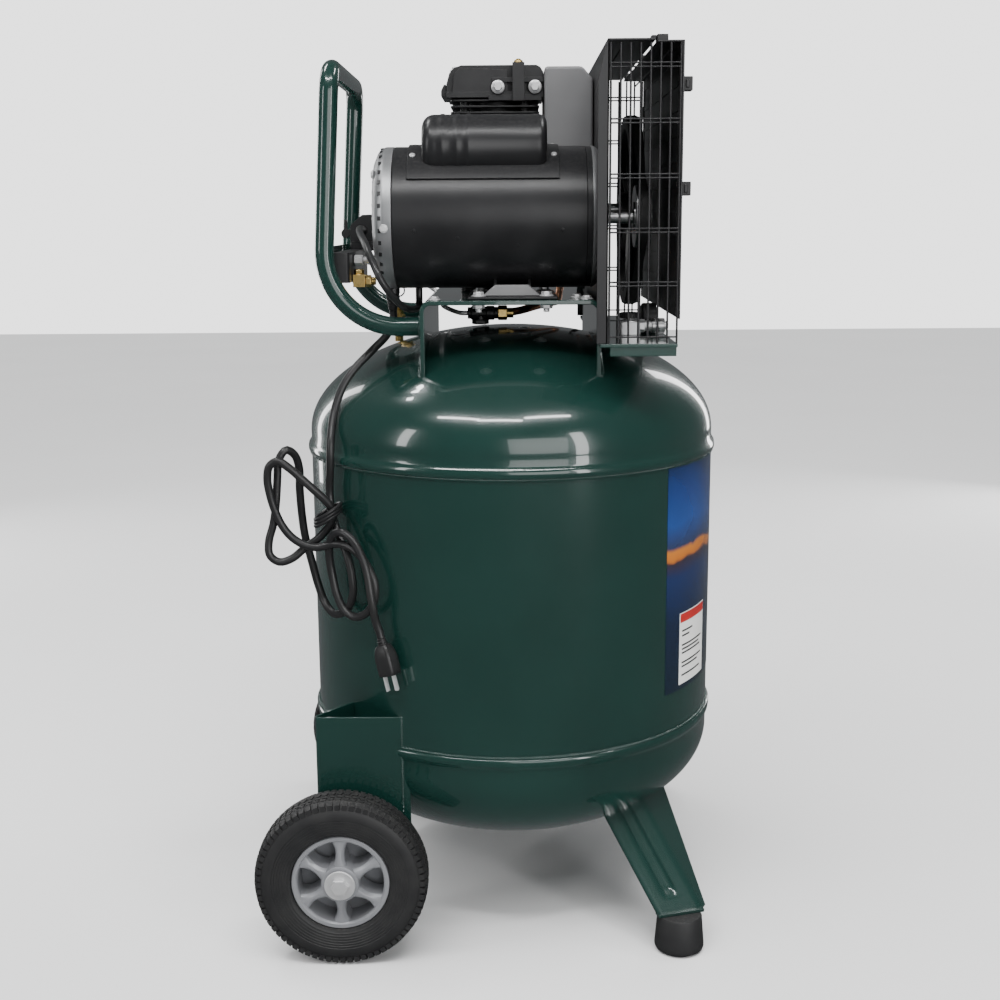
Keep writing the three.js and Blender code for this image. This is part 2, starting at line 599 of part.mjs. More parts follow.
const saddleFace = SADDLE_TOP + GAP;
add('motor_base', cut(
  join(
    box(-50, 55, MOTOR_Y - 73, MOTOR_Y + 73, saddleFace, saddleFace + 3),
    pulledX([[-60, 0], [60, 0], [40, 26], [-40, 26]].map(([y, z]) => [MOTOR_Y + y, saddleFace + z]), -20, 25),
  ),
  barrel(MOTOR_R + GAP, -300, 300, 'x', motorAxis, MOTOR_SIDES),
), BLACK);

// half-round capacitor cover with a flange bent to the motor's shell
const lean = Math.atan2(MOTOR_Y - COVER_Y, COVER_Z - MOTOR_Z);
function arcPoints(r, from, to, steps) {
  const angles = Array.from({ length: steps + 1 }, (_, i) => from + ((to - from) * i) / steps);
  return angles.map((a) => [MOTOR_Y - r * sin(a), MOTOR_Z + r * cos(a)]);
}
const flangeFrom = lean - 0.62;
const flangeTo = lean + 0.66;
const flangeOutline = [
  ...arcPoints(MOTOR_R + 0.6, flangeFrom, flangeTo, 10),
  ...arcPoints(MOTOR_R + 2.6, flangeTo, flangeFrom, 10),
];
add('capacitor_cover', cut(
  join(
    turned([
      [0, COVER_BACK], [COVER_R - 8, COVER_BACK], [COVER_R, COVER_BACK + 8],
      [COVER_R, COVER_FRONT - 8], [COVER_R - 8, COVER_FRONT], [0, COVER_FRONT],
    ], 20, 'x').translate(0, COVER_Y, COVER_Z),
    pulledX(flangeOutline, COVER_BACK - 17, COVER_FRONT + 14),
  ),
  barrel(MOTOR_R + 0.6, -300, 300, 'x', motorAxis, MOTOR_SIDES),
), BLACK);

// lead from the pressure switch to the motor, held at both ends
const leadZ = switchSeat + 14;
add('motor_lead', hose([
  at(-188, switchY[0] - GAP, leadZ), at(-187, 20, leadZ + 2), at(-184, -40, leadZ + 2),
  at(-177, -92, leadZ - 4), at(-168, -132, leadZ - 14), at(-158, -160, leadZ - 32),
  at(-148, -172, SADDLE_TOP + 26), at(-137, -166, SADDLE_TOP + 8), at(-124, -142, SADDLE_TOP - 8),
  at(-114, -108, SADDLE_TOP - 13), at(-110, -84, SADDLE_TOP - 10), at(-110, MOTOR_Y, SADDLE_TOP),
  at(-110, MOTOR_Y, MOTOR_Z - MOTOR_R - GAP),
], CORD_R - 0.6, 34, 8), RUBBER);

// ---- pump ----------------------------------------------------------------------------------------
const crankAxis = [0, PUMP_Y, CRANK_Z];
const throwR = STROKE / 2;
const chamber = [PUMP_X - 32, PUMP_X + 32];
add('crankcase', cut(
  join(
    box(PUMP_X - 40, PUMP_X + 40, PUMP_Y - 44, PUMP_Y + 44, saddleFace + 8, CASE_TOP),
    box(PUMP_X - 46, PUMP_X + 46, PUMP_Y - 62, PUMP_Y + 62, saddleFace, saddleFace + 10),
    barrel(24, PUMP_X + 38, PUMP_X + 62, 'x', crankAxis, 16),
  ),
  box(...chamber, PUMP_Y - 36, PUMP_Y + 36, CRANK_Z - 36, CASE_TOP - 6),
  barrel(CRANK_R + AXLE_PLAY, PUMP_X + 20, PUMP_X + 90, 'x', crankAxis, 16),
  barrel(BORE_R, CASE_TOP - 10, CASE_TOP + 5, 'z', [PUMP_X, PUMP_Y, 0], 24),
), BLACK);
add('crankshaft', join(
  barrel(CRANK_R, PUMP_X + 8, BELT_X + 18, 'x', crankAxis, 16),
  barrel(throwR + 6, PUMP_X + 8, PUMP_X + 16, 'x', crankAxis, 16),
  barrel(8, PUMP_X - 10, PUMP_X + 9, 'x', [0, PUMP_Y, CRANK_Z - throwR], 16),
), STEEL);

// piston at the bottom of its stroke, with its rod ending just above the crank's sweep
const pistonTop = DECK_Z - 3 - STROKE;
const sweepTop = CRANK_Z + throwR + 8;
add('piston', join(
  barrel(BORE_R - 0.5, pistonTop - 26, pistonTop, 'z', [PUMP_X, PUMP_Y, 0], 24),
  box(PUMP_X - 6, PUMP_X + 6, PUMP_Y - 9, PUMP_Y + 9, sweepTop + 2, pistonTop - 25),
), SILVER);

// cylinder: a bored barrel with square cooling fins
const finPitch = (DECK_Z - CASE_TOP) / FIN_COUNT;
const fins = Array.from({ length: FIN_COUNT }, (_, i) => {
  const z = DECK_Z - GAP - 4 - i * finPitch;
  return box(PUMP_X - 56, PUMP_X + 56, PUMP_Y - 56, PUMP_Y + 56, z, z + 4);
});
add('cylinder_barrel', cut(
  join(barrel(BORE_R + 7, CASE_TOP + GAP, DECK_Z - GAP, 'z', [PUMP_X, PUMP_Y, 0], 24), ...fins),
  barrel(BORE_R, CASE_TOP - 5, DECK_Z + 5, 'z', [PUMP_X, PUMP_Y, 0], 24),
), BLACK);
const headBack = PUMP_X - 61;
const headFront = PUMP_X + 61;
add('cylinder_head', cut(
  join(
    pulledY([
      [headBack, DECK_Z], [headFront, DECK_Z], [headFront, HEAD_TOP - 8], [headFront - 7, HEAD_TOP],
      [headBack + 17, HEAD_TOP], [headBack + 5, HEAD_TOP - 8], [headBack, DECK_Z + 17],
    ], PUMP_Y - HEAD_HALF, PUMP_Y + HEAD_HALF),
    box(2, 20, PUMP_Y - HEAD_HALF - 12, PUMP_Y - HEAD_HALF + 1, DECK_Z - 6, HEAD_TOP + 6),
  ),
  box(headBack + 16, headFront - 16, PUMP_Y - 42, PUMP_Y + 42, DECK_Z - 5, HEAD_TOP - 18),
), BLACK);
// flat air filter that caps the head's end
const filterDepth = 7;
add('air_filter', pulledY([
  [headBack - GAP, DECK_Z + 2], [headBack - GAP, DECK_Z + 17], [headBack - 3, DECK_Z + 17],
  [headBack - filterDepth, DECK_Z + 10], [headBack - filterDepth, DECK_Z + 2],
], PUMP_Y - 46, PUMP_Y + 46), BLACK);
const shroudLow = CASE_TOP + 20;
const shroudTop = HEAD_TOP - 4;
const shroudBack = headFront + GAP;
const shroudFront = GUARD_BACK - GUARD_SHEET - GAP;
add('air_shroud', cut(
  pulledY([
    [shroudBack, shroudLow], [shroudFront, shroudLow], [shroudFront, shroudTop - 14],
    [shroudFront - 12, shroudTop], [shroudBack, shroudTop],
  ], PUMP_Y - 72, PUMP_Y + 72),
  box(shroudBack - 5, shroudFront - 4, PUMP_Y - 68, PUMP_Y + 68, shroudLow + 4, shroudTop - 18),
), SATIN);

// flywheel: grooved rim, fan-blade spokes and a hub on the crankshaft
const flyCentre = [BELT_X, PUMP_Y, CRANK_Z];
const flyHalf = 9;
const rimInner = FLYWHEEL_R - GROOVE_DEPTH - 9;
const blades = Array.from({ length: SPOKES }, (_, i) => box(-3, 3, -8, 8, 16, rimInner + 2)
  .rotateZ(0.6).rotateX((i * 2 * PI) / SPOKES));
const groove = FLYWHEEL_R - GROOVE_DEPTH;
const beltHalf = BELT_WIDTH / 2 + 0.5;
const rim = turned([
  [rimInner, -flyHalf], [FLYWHEEL_R, -flyHalf], [FLYWHEEL_R, -beltHalf], [groove, -beltHalf],
  [groove, beltHalf], [FLYWHEEL_R, beltHalf], [FLYWHEEL_R, flyHalf], [rimInner, flyHalf],
], 36, 'x');
add('flywheel', cut(
  join(rim, barrel(24, -15, 15, 'x', [0, 0, 0], 24), ...blades),
  barrel(CRANK_R + GAP, -50, 50, 'x', [0, 0, 0], 20),
).translate(...flyCentre), BLACK);

// belt: a band round the two grooves, from the tangents that the two circles share
function beltOutline(grow) {
  const [bigR, smallR] = [groove + grow, PULLEY_R - GROOVE_DEPTH + grow];
  const [dy, dz] = [MOTOR_Y - PUMP_Y, MOTOR_Z - CRANK_Z];
  const heading = Math.atan2(dz, dy);
  const spread = Math.acos((bigR - smallR) / hypot(dy, dz));
  const arc = (y, z, r, from, to, steps) => Array.from({ length: steps + 1 }, (_, i) => {
    const angle = from + ((to - from) * i) / steps;
    return [y + r * cos(angle), z + r * sin(angle)];
  });
  return [
    ...arc(PUMP_Y, CRANK_Z, bigR, heading + spread, heading + 2 * PI - spread, 28),
    ...arc(MOTOR_Y, MOTOR_Z, smallR, heading - spread, heading + spread, 12),
  ];
}
const beltBody = (grow, half) => pulledX(beltOutline(grow), BELT_X - half, BELT_X + half);
add('drive_belt', cut(beltBody(BELT_THICK, BELT_WIDTH / 2), beltBody(0.6, BELT_WIDTH)), RUBBER);

// ---- belt guard ----------------------------------------------------------------------------------
const panBack = GUARD_BACK - 12;
const chamferLow = GUARD_TOP - 42;
const guardLow = SHELF_TOP + GAP;
const lipOutline = [
  [panBack, guardLow], [GUARD_BACK, guardLow], [GUARD_BACK, GUARD_TOP], [GUARD_BACK - 2, GUARD_TOP],
  [panBack, chamferLow],
];
const skin = GUARD_BACK - GUARD_SHEET;
add('guard_back_pan', cut(
  join(
    box(skin, GUARD_BACK, -GUARD_Y, GUARD_Y, guardLow, GUARD_TOP),
    pulledY(lipOutline, -GUARD_Y, -GUARD_Y + GUARD_SHEET),
    pulledY(lipOutline, GUARD_Y - GUARD_SHEET, GUARD_Y),
    box(skin, 156, -GUARD_Y, GUARD_Y, GUARD_TOP - GUARD_SHEET, GUARD_TOP),
  ),
  barrel(SHAFT_R + 8, 90, 120, 'x', motorAxis, 20),
  barrel(90, 90, 120, 'x', crankAxis, 36),
), BLACK);

// front panel with its clips, open below down to the shelf
const panelTop = GUARD_TOP + 5;
const clip = (z) => box(GUARD_FRONT - 4, GUARD_FRONT + 8, -GUARD_Y + 4, -GUARD_Y + 20, z, z + 12);
add('guard_front_panel', join(
  box(GUARD_FRONT - GUARD_SHEET, GUARD_FRONT, -GUARD_Y, GUARD_Y, PANEL_BOTTOM, GUARD_TOP - 2),
  box(158, GUARD_FRONT, -GUARD_Y, GUARD_Y, GUARD_TOP - 2 - GUARD_SHEET, GUARD_TOP - 2),
  box(158, 170, -20, 0, GUARD_TOP - 3, panelTop),
  clip(GUARD_TOP - 54), clip(GUARD_TOP - 164),
), BLACK);

// wire cage: the two wire sides, joined along the top by two rails
const cageTop = GUARD_TOP - 2 - GUARD_SHEET - GAP;
const firstWire = GUARD_BACK + GAP + WIRE / 2;
const lastWire = GUARD_FRONT - GUARD_SHEET - GAP - WIRE / 2;
const columnX = (i) => firstWire + ((lastWire - firstWire) * i) / (WIRE_COLUMNS - 1);
const wireHalf = WIRE / 2;
function wireSide(y) {
  const wires = [];
  for (let i = 0; i < WIRE_COLUMNS; i += 1) {
    const x = columnX(i);
    wires.push(box(x - wireHalf, x + wireHalf, y - wireHalf, y + wireHalf, guardLow, cageTop));
  }
  for (let i = 0; i < WIRE_ROWS; i += 1) {
    const z = guardLow + 6 + ((cageTop - guardLow - 30) * i) / (WIRE_ROWS - 1);
    wires.push(box(firstWire, lastWire, y - wireHalf + 0.2, y + wireHalf - 0.2, z, z + WIRE));
  }
  return wires;
}
const cageY = GUARD_Y - wireHalf;
const rails = [1, WIRE_COLUMNS - 2].map((i) => box(
  columnX(i) - wireHalf + 0.2, columnX(i) + wireHalf - 0.2, -cageY, cageY, cageTop - 8, cageTop - 8 + WIRE,
));
add('guard_wire_cage', join(...wireSide(-cageY), ...wireSide(cageY), ...rails), BLACK);

// ---- mains cord, hung on the back of the tank in a tied bundle ------------------------------------
const EXIT = at(-142, MOTOR_Y, MOTOR_Z - MOTOR_R - 26);
add('strain_relief', turned([
  [0, 0], [5.4, 0], [9, 20], [9, 26], [0, 26],
], 12).translate(EXIT.x, EXIT.y, EXIT.z), RUBBER);
const dropLine = [
  EXIT.clone().add(at(0, 0, -GAP)), EXIT.clone().add(at(0, 0, -10)), at(-148, -86, 725), at(-166, -108, 706),
  at(-184, -120, 688), at(-198, -129, 668), at(-207, -136, 645), at(-211, -148, 622),
  at(-212, -160, 600), at(-213, -161, 575), at(-215, -157, 552), at(-215, -157, 538 + GAP),
];
add('cord_drop', hose(dropLine, CORD_R, 36, 8), RUBBER);

// the bundle's outer shape against the tank: two lobes, narrow where the tie holds them
add('cord_hank', cut(pulledY([
  [-290, 602], [-264, 605], [-234, 562], [-228, 538], [-204, 538], [-168, 502], [-149, 462],
  [-149, 412], [-166, 412], [-166, 397], [-212, 390], [-236, 414], [-254, 462], [-290, 463], [-297, 520], [-297, 580],
], -240, -150), tankSpace(2)), RUBBER);
// grounded plug, hanging down with its blades lowest, leaning along the tank's wall
const PLUG_LEAN = 0.28;
const PLUG_TURN = -0.54;
const PLUG_LENGTH = 44;
const plugTop = at(-152, -223, 384);
const plugAxis = at(0, 0, -1).applyEuler(new THREE.Euler(0, -PLUG_LEAN, 0));
plugAxis.applyAxisAngle(at(0, 0, 1), PLUG_TURN);
const upFromPlug = (distance) => plugTop.clone().addScaledVector(plugAxis, -distance);
add('cord_tail', hose([
  at(-158, -220, 412 - GAP), at(-158, -220, 404), upFromPlug(7), upFromPlug(GAP),
], CORD_R, 6, 8), RUBBER);
const placed = (geometry) => geometry.rotateY(-PLUG_LEAN).rotateZ(PLUG_TURN)
  .translate(plugTop.x, plugTop.y, plugTop.z);
add('plug_body', placed(join(
  turned([[0, 0], [5.5, 0], [8, -18], [0, -18]], 16),
  box(-12.5, 12.5, -11, 11, -PLUG_LENGTH, -17),
)), RUBBER);
add('plug_blades', placed(join(
  box(-10, 10, -9, 9, -PLUG_LENGTH - 1.6, -PLUG_LENGTH - GAP),
  box(-7.1, -5.6, -6.2, 0.1, -PLUG_LENGTH - 18, -PLUG_LENGTH - 1),
  box(5.6, 7.1, -6.2, 0.1, -PLUG_LENGTH - 18, -PLUG_LENGTH - 1),
  barrel(2.4, -PLUG_LENGTH - 21, -PLUG_LENGTH - 1, 'z', [0, 6, 0], 10),
)), BRASS);

// the origin is on the floor, under the middle of the outline of wheels and tank
const rearEnd = WHEEL_X - WHEEL_R;
const frontEnd = TANK_R + LIP_PROUD;
group.position.x = -(rearEnd + frontEnd) / 2;

export default group;
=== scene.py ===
# %% [markdown]
# An upright air compressor: a green steel tank on two wheels and two rubber feet, with a
# belt-driven pump and its motor on a saddle, a wire belt guard and a push handle.
# The frame gives every CAD piece in its place, so this script only adds what the eye wants:
# smooth skins, pressed and cast detail, cords, screws, and a finish for each material.

# %% Load the frame
from math import acos, atan2, cos, degrees, hypot, pi, radians, sin, sqrt, tan

import bmesh
import bpy
from mathutils import Matrix, Vector


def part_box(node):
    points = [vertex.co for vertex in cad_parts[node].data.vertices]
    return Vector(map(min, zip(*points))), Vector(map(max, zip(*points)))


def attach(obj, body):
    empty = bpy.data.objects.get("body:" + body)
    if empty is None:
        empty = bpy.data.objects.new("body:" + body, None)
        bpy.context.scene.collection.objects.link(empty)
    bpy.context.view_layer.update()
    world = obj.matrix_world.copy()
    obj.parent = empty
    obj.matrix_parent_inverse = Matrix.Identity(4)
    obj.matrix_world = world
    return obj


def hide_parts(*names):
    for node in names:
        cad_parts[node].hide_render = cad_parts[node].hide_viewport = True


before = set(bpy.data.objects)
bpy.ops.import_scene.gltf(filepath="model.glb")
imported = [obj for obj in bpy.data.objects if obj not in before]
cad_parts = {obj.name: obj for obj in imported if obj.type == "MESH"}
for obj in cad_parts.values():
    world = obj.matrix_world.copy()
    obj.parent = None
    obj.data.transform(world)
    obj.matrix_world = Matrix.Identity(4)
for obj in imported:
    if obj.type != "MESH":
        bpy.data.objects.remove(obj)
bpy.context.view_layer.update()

MM = 0.001
tank_low, tank_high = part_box("tank_shell")
AXIS_X = (tank_low.x + tank_high.x) / 2
TANK_R = (tank_high.y - tank_low.y) / 2 / MM
print(f"tank radius {TANK_R:.0f} mm, its axis at x = {AXIS_X:.3f} m")

# %% [markdown]
# Machine drawings are in millimetres from one datum. Here it is the tank's axis on the floor,
# so every piece below is drawn in millimetres from it and scaled to metres when it is made.
# `Stock` collects closed shapes (blocks, turned bodies, bent bars, pressed outlines) and turns
# them into one mesh, as a workshop makes one part from several cuts of stock.


# %% Stock: the shapes that pieces are made from
def spun(axis):
    """The turn that lays a shape drawn along Z along another axis."""
    if axis == "x":
        return Matrix.Rotation(pi / 2, 4, "Y")
    if axis == "y":
        return Matrix.Rotation(-pi / 2, 4, "X")
    return Matrix()


def smooth_path(points, step=6.0):
    """Even points along the smooth line through the given ones (centripetal Catmull-Rom)."""
    pts = [Vector(p) for p in points]
    pts = [2 * pts[0] - pts[1], *pts, 2 * pts[-1] - pts[-2]]
    line = []
    for p0, p1, p2, p3 in zip(pts, pts[1:], pts[2:], pts[3:]):
        t0 = 0.0
        t1 = t0 + sqrt((p1 - p0).length)
        t2 = t1 + sqrt((p2 - p1).length)
        t3 = t2 + sqrt((p3 - p2).length)
        count = max(2, int((p2 - p1).length / step * 2))
        for k in range(count):
            t = t1 + (t2 - t1) * k / count
            a1 = p0 * ((t1 - t) / (t1 - t0)) + p1 * ((t - t0) / (t1 - t0))
            a2 = p1 * ((t2 - t) / (t2 - t1)) + p2 * ((t - t1) / (t2 - t1))
            a3 = p2 * ((t3 - t) / (t3 - t2)) + p3 * ((t - t2) / (t3 - t2))
            b1 = a1 * ((t2 - t) / (t2 - t0)) + a2 * ((t - t0) / (t2 - t0))
            b2 = a2 * ((t3 - t) / (t3 - t1)) + a3 * ((t - t1) / (t3 - t1))
            line.append(b1 * ((t2 - t) / (t2 - t1)) + b2 * ((t - t1) / (t2 - t1)))
    line.append(pts[-2])
    total = sum((b - a).length for a, b in zip(line, line[1:]))
    even, want, run = [line[0]], total / max(2, round(total / step)), 0.0
    reach = want
    for a, b in zip(line, line[1:]):
        length = (b - a).length
        while length > 0 and run + length >= reach - 1e-9:
            even.append(a.lerp(b, (reach - run) / length))
            reach += want
        run += length
    if (even[-1] - line[-1]).length > want / 2:
        even.append(line[-1])
    even[-1] = line[-1]
    return even


def rounded_corners(points, radii, steps=8):
    """A path of straight runs with its corners bent to the given radii."""
    pts = [Vector(p) for p in points]
    path = [pts[0]]
    for i, corner in enumerate(pts[1:-1]):
        radius = radii[i] if isinstance(radii, (list, tuple)) else radii
        back = (pts[i] - corner).normalized()
        on = (pts[i + 2] - corner).normalized()
        half = back.angle(on) / 2
        inward = (back + on).normalized()
        centre = corner + inward * (radius / sin(half))
        start = corner + back * (radius / tan(half)) - centre
        turn = pi - 2 * half
        middle = -inward * radius
        across = (middle - start * cos(turn / 2)) / sin(turn / 2)
        for k in range(steps + 1):
            angle = turn * k / steps
            path.append(centre + start * cos(angle) + across * sin(angle))
    path.append(pts[-1])
    return path


class Stock:
    """Closed shapes in millimetres, collected and then made into one mesh."""

    def __init__(self):
        self.verts = []
        self.faces = []

    def put(self, verts, faces, place=None):
        first = len(self.verts)
        self.verts += [place @ Vector(v) if place else Vector(v) for v in verts]
        self.faces += [[first + i for i in f] for f in faces]
        return self

    def block(self, x0, x1, y0, y1, z0, z1, place=None):
        corners = [(x, y, z) for x in (x0, x1) for y in (y0, y1) for z in (z0, z1)]
        sides = [(0, 1, 3, 2), (4, 6, 7, 5), (0, 4, 5, 1), (2, 3, 7, 6), (0, 2, 6, 4), (1, 5, 7, 3)]
        return self.put(corners, sides, place)

    def turned(self, profile, axis="z", centre=(0, 0, 0), steps=48, place=None):
        """A closed outline of (radius, height) turned about an axis through centre."""
        verts, faces, rings = [], [], []
        for r, h in profile:
            if r < 1e-6:
                rings.append([len(verts)] * steps)
                verts.append((0, 0, h))
                continue
            rings.append(list(range(len(verts), len(verts) + steps)))
            verts += [(r * cos(2 * pi * k / steps), r * sin(2 * pi * k / steps), h) for k in range(steps)]
        for low, high in zip(rings, rings[1:] + rings[:1]):
            for k in range(steps):
                n = (k + 1) % steps
                face = [low[k], low[n], high[n], high[k]]
                face = [v for i, v in enumerate(face) if v != face[i - 1]]
                if len(face) > 2:
                    faces.append(face)
        turn = Matrix.Translation(Vector(centre)) @ spun(axis)
        return self.put(verts, faces, place @ turn if place else turn)

    def rod(self, r, a, b, axis="z", centre=(0, 0, 0), steps=32, edge=0.6, bore=0.0, place=None):
        """A round bar or tube from a to b, with its edges broken."""
        e = min(edge, (r - bore) / 3, abs(b - a) / 3)
        low, high = min(a, b), max(a, b)
        outline = [(bore, low), (r - e, low), (r, low + e), (r, high - e), (r - e, high), (bore, high)]
        return self.turned(outline, axis, centre, steps, place)

    def hexagon(self, r, a, b, axis="z", centre=(0, 0, 0), place=None):
        return self.rod(r, a, b, axis, centre, 6, 0.8, 0.0, place)

    def bar(self, path, radius, sides=12, loop=False):
        """A round section carried along a path; radius is one value or one for each point."""
        pts = [Vector(p) for p in path]
        count = len(pts)
        radii = radius if isinstance(radius, (list, tuple)) else [radius] * count
        tangent = (pts[1] - pts[0]).normalized()
        guide = Vector((0, 0, 1)) if abs(tangent.z) < 0.9 else Vector((1, 0, 0))
        normal = tangent.cross(guide).normalized()
        verts, faces = [], []
        for i, p in enumerate(pts):
            before = pts[i - 1] if i or loop else p
            after = pts[(i + 1) % count] if i < count - 1 or loop else p
            onward = (after - before).normalized()
            normal = (normal - onward * normal.dot(onward)).normalized()
            side = onward.cross(normal)
            for k in range(sides):
                a = 2 * pi * k / sides
                verts.append(p + (normal * cos(a) + side * sin(a)) * radii[i])
        for i in range(count if loop else count - 1):
            for k in range(sides):
                n = (k + 1) % sides
                j = (i + 1) % count
                faces.append([i * sides + k, i * sides + n, j * sides + n, j * sides + k])
        if not loop:
            faces.append(list(range(sides))[::-1])
            faces.append([(count - 1) * sides + k for k in range(sides)])
        return self.put(verts, faces)

    def pressed(self, outline, a, b, axis="z", place=None):
        """A flat outline carried from a to b; for axis y it is (x, z), for axis x it is (y, z)."""
        def spot(u, v, w):
            return {"z": (u, v, w), "y": (u, w, v), "x": (w, u, v)}[axis]
        count = len(outline)
        verts = [spot(u, v, w) for w in (a, b) for u, v in outline]
        faces = [list(range(count))[::-1], list(range(count, 2 * count))]
        faces += [[i, (i + 1) % count, count + (i + 1) % count, count + i] for i in range(count)]
        return self.put(verts, faces, place)

    def wedge(self, corners, place=None):
        """A block with free corners: four round one end, then the four over them."""
        sides = [[0, 1, 2, 3], [7, 6, 5, 4], [0, 4, 5, 1], [1, 5, 6, 2], [2, 6, 7, 3], [3, 7, 4, 0]]
        return self.put(corners, sides, place)

    def lofted(self, rings, place=None):
        """A skin over rings of equally many points, closed at both ends."""
        count, last = len(rings[0]), len(rings) - 1
        faces = [list(range(count)), [last * count + k for k in range(count)][::-1]]
        for i in range(last):
            for k in range(count):
                n = (k + 1) % count
                faces.append([i * count + k, (i + 1) * count + k, (i + 1) * count + n, i * count + n])
        return self.put([spot for ring in rings for spot in ring], faces, place)

    def mesh(self, name):
        made = bpy.data.meshes.new(name)
        spots = [((v.x * MM) + AXIS_X, v.y * MM, v.z * MM) for v in self.verts]
        made.from_pydata(spots, [], self.faces)
        bm = bmesh.new()
        bm.from_mesh(made)
        bmesh.ops.recalc_face_normals(bm, faces=bm.faces)
        bm.to_mesh(made)
        bm.free()
        return made


def piece(stock, name, finish, body="compressor", stands_for=(), bevel=0.0, sharp=32):
    """Makes one piece: a mesh that rides on its body and may stand for CAD nodes.

    Its one material slot holds the finish it is given.
    """
    made = stock.mesh(name)
    made.shade_smooth()
    made.set_sharp_from_angle(angle=radians(sharp))
    thing = bpy.data.objects.new(name, made)
    bpy.context.scene.collection.objects.link(thing)
    made.materials.append(finish)
    if bevel:
        edge = thing.modifiers.new("broken edges", "BEVEL")
        edge.width = bevel * MM
        edge.segments = 2
        edge.limit_method = "ANGLE"
        edge.angle_limit = radians(35)
        edge.harden_normals = True
    settle(thing, body, stands_for)
    return thing


def settle(thing, body, stands_for=()):
    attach(thing, body)
    if stands_for:
        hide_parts(*([stands_for] if isinstance(stands_for, str) else stands_for))


# %% [markdown]
# Many pieces repeat: cooling fins, fan blades, tread blocks, screws, guard wires. One small
# Geometry Nodes tree makes them all, copying a shape round an axis or in a row.
# The copies are made real and become a plain mesh, so the result is an ordinary piece.


# %% Geometry Nodes: copies round an axis or in a row
def node_tree(name, inputs):
    tree = bpy.data.node_groups.new(name, "GeometryNodeTree")
    tree.interface.new_socket("Geometry", in_out="INPUT", socket_type="NodeSocketGeometry")
    ids = {}
    for label, kind in inputs:
        ids[label] = tree.interface.new_socket(label, in_out="INPUT", socket_type=kind).identifier
    tree.interface.new_socket("Geometry", in_out="OUTPUT", socket_type="NodeSocketGeometry")
    start = tree.nodes.new("NodeGroupInput")
    end = tree.nodes.new("NodeGroupOutput")
    return tree, ids, start, end


def add_node(tree, kind, inputs=None, **settings):
    """A node with its settings made, and each input set to a value or linked from a socket."""
    made = tree.nodes.new(kind)
    for label, value in settings.items():
        setattr(made, label, value)
    for label, value in (inputs or {}).items():
        if isinstance(value, bpy.types.NodeSocket):
            tree.links.new(value, made.inputs[label])
        else:
            made.inputs[label].default_value = value
    return made


def made_real(thing):
    """The mesh that an object's modifiers make; the modifiers are then taken off."""
    bpy.context.view_layer.update()
    mesh = bpy.data.meshes.new_from_object(thing.evaluated_get(bpy.context.evaluated_depsgraph_get()))
    thing.modifiers.clear()
    return mesh


def copies_tree():
    """Count copies; each is moved by Step and turned by Turn more than the one before."""
    kinds = [("Count", "NodeSocketInt"), ("Step", "NodeSocketVector"), ("Turn", "NodeSocketVector"),
             ("Centre", "NodeSocketVector"), ("Material", "NodeSocketMaterial")]
    tree, ids, start, end = node_tree("copies", kinds)
    given, index = start.outputs, add_node(tree, "GeometryNodeInputIndex")
    minus = add_node(tree, "ShaderNodeVectorMath", {0: given["Centre"], "Scale": -1.0}, operation="SCALE")
    to_axis = add_node(tree, "GeometryNodeTransform", {
        "Geometry": given["Geometry"], "Translation": minus.outputs[0]})
    line = add_node(tree, "GeometryNodeMeshLine", {"Count": given["Count"], "Offset": (0, 0, 0)})
    shift, spin = [add_node(tree, "ShaderNodeVectorMath", {0: given[by], "Scale": index.outputs[0]},
                            operation="SCALE") for by in ("Step", "Turn")]
    spots = add_node(tree, "GeometryNodeSetPosition",
                     {"Geometry": line.outputs[0], "Offset": shift.outputs[0]})
    lay = add_node(tree, "GeometryNodeInstanceOnPoints", {
        "Points": spots.outputs[0], "Instance": to_axis.outputs[0], "Rotation": spin.outputs[0]})
    real = add_node(tree, "GeometryNodeRealizeInstances", {0: lay.outputs[0]})
    back = add_node(tree, "GeometryNodeTransform",
                    {"Geometry": real.outputs[0], "Translation": given["Centre"]})
    paint = add_node(tree, "GeometryNodeSetMaterial",
                     {"Geometry": back.outputs[0], "Material": given["Material"]})
    tree.links.new(paint.outputs[0], end.inputs[0])
    return tree, ids


COPIES, COPIES_ID = copies_tree()


def repeated(stock, name, finish, count, step=(0, 0, 0), turn=(0, 0, 0), centre=(0, 0, 0),
             body="compressor", stands_for=(), bevel=0.0, sharp=32, also=None):
    """A piece made of copies of one shape, with more stock joined to it if wanted."""
    seed = stock.mesh(name)
    thing = bpy.data.objects.new(name, seed)
    bpy.context.scene.collection.objects.link(thing)
    row = thing.modifiers.new("copies", "NODES")
    row.node_group = COPIES
    row[COPIES_ID["Count"]] = count
    row[COPIES_ID["Step"]] = [v * MM for v in step]
    row[COPIES_ID["Turn"]] = [radians(v) for v in turn]
    row[COPIES_ID["Centre"]] = [centre[0] * MM + AXIS_X, centre[1] * MM, centre[2] * MM]
    row[COPIES_ID["Material"]] = finish
    made = made_real(thing)
    bpy.data.objects.remove(thing)
    joined = Stock()
    joined.verts = [Vector(((v.co.x - AXIS_X) / MM, v.co.y / MM, v.co.z / MM)) for v in made.vertices]
    joined.faces = [list(p.vertices) for p in made.polygons]
    if also:
        joined.put(also.verts, also.faces)
    return piece(joined, name, finish, body, stands_for, bevel, sharp)

# %% [markdown]
# Every finish has some unevenness that light picks up: orange peel in enamel, grit in powder
# coat, a moulded grain in plastic and rubber, and a little dust on what faces up. Each of
# these is one shader group with its own inputs, so all materials share them and set amounts.
# The groups read Object coordinates, which stay with a piece when its body moves.


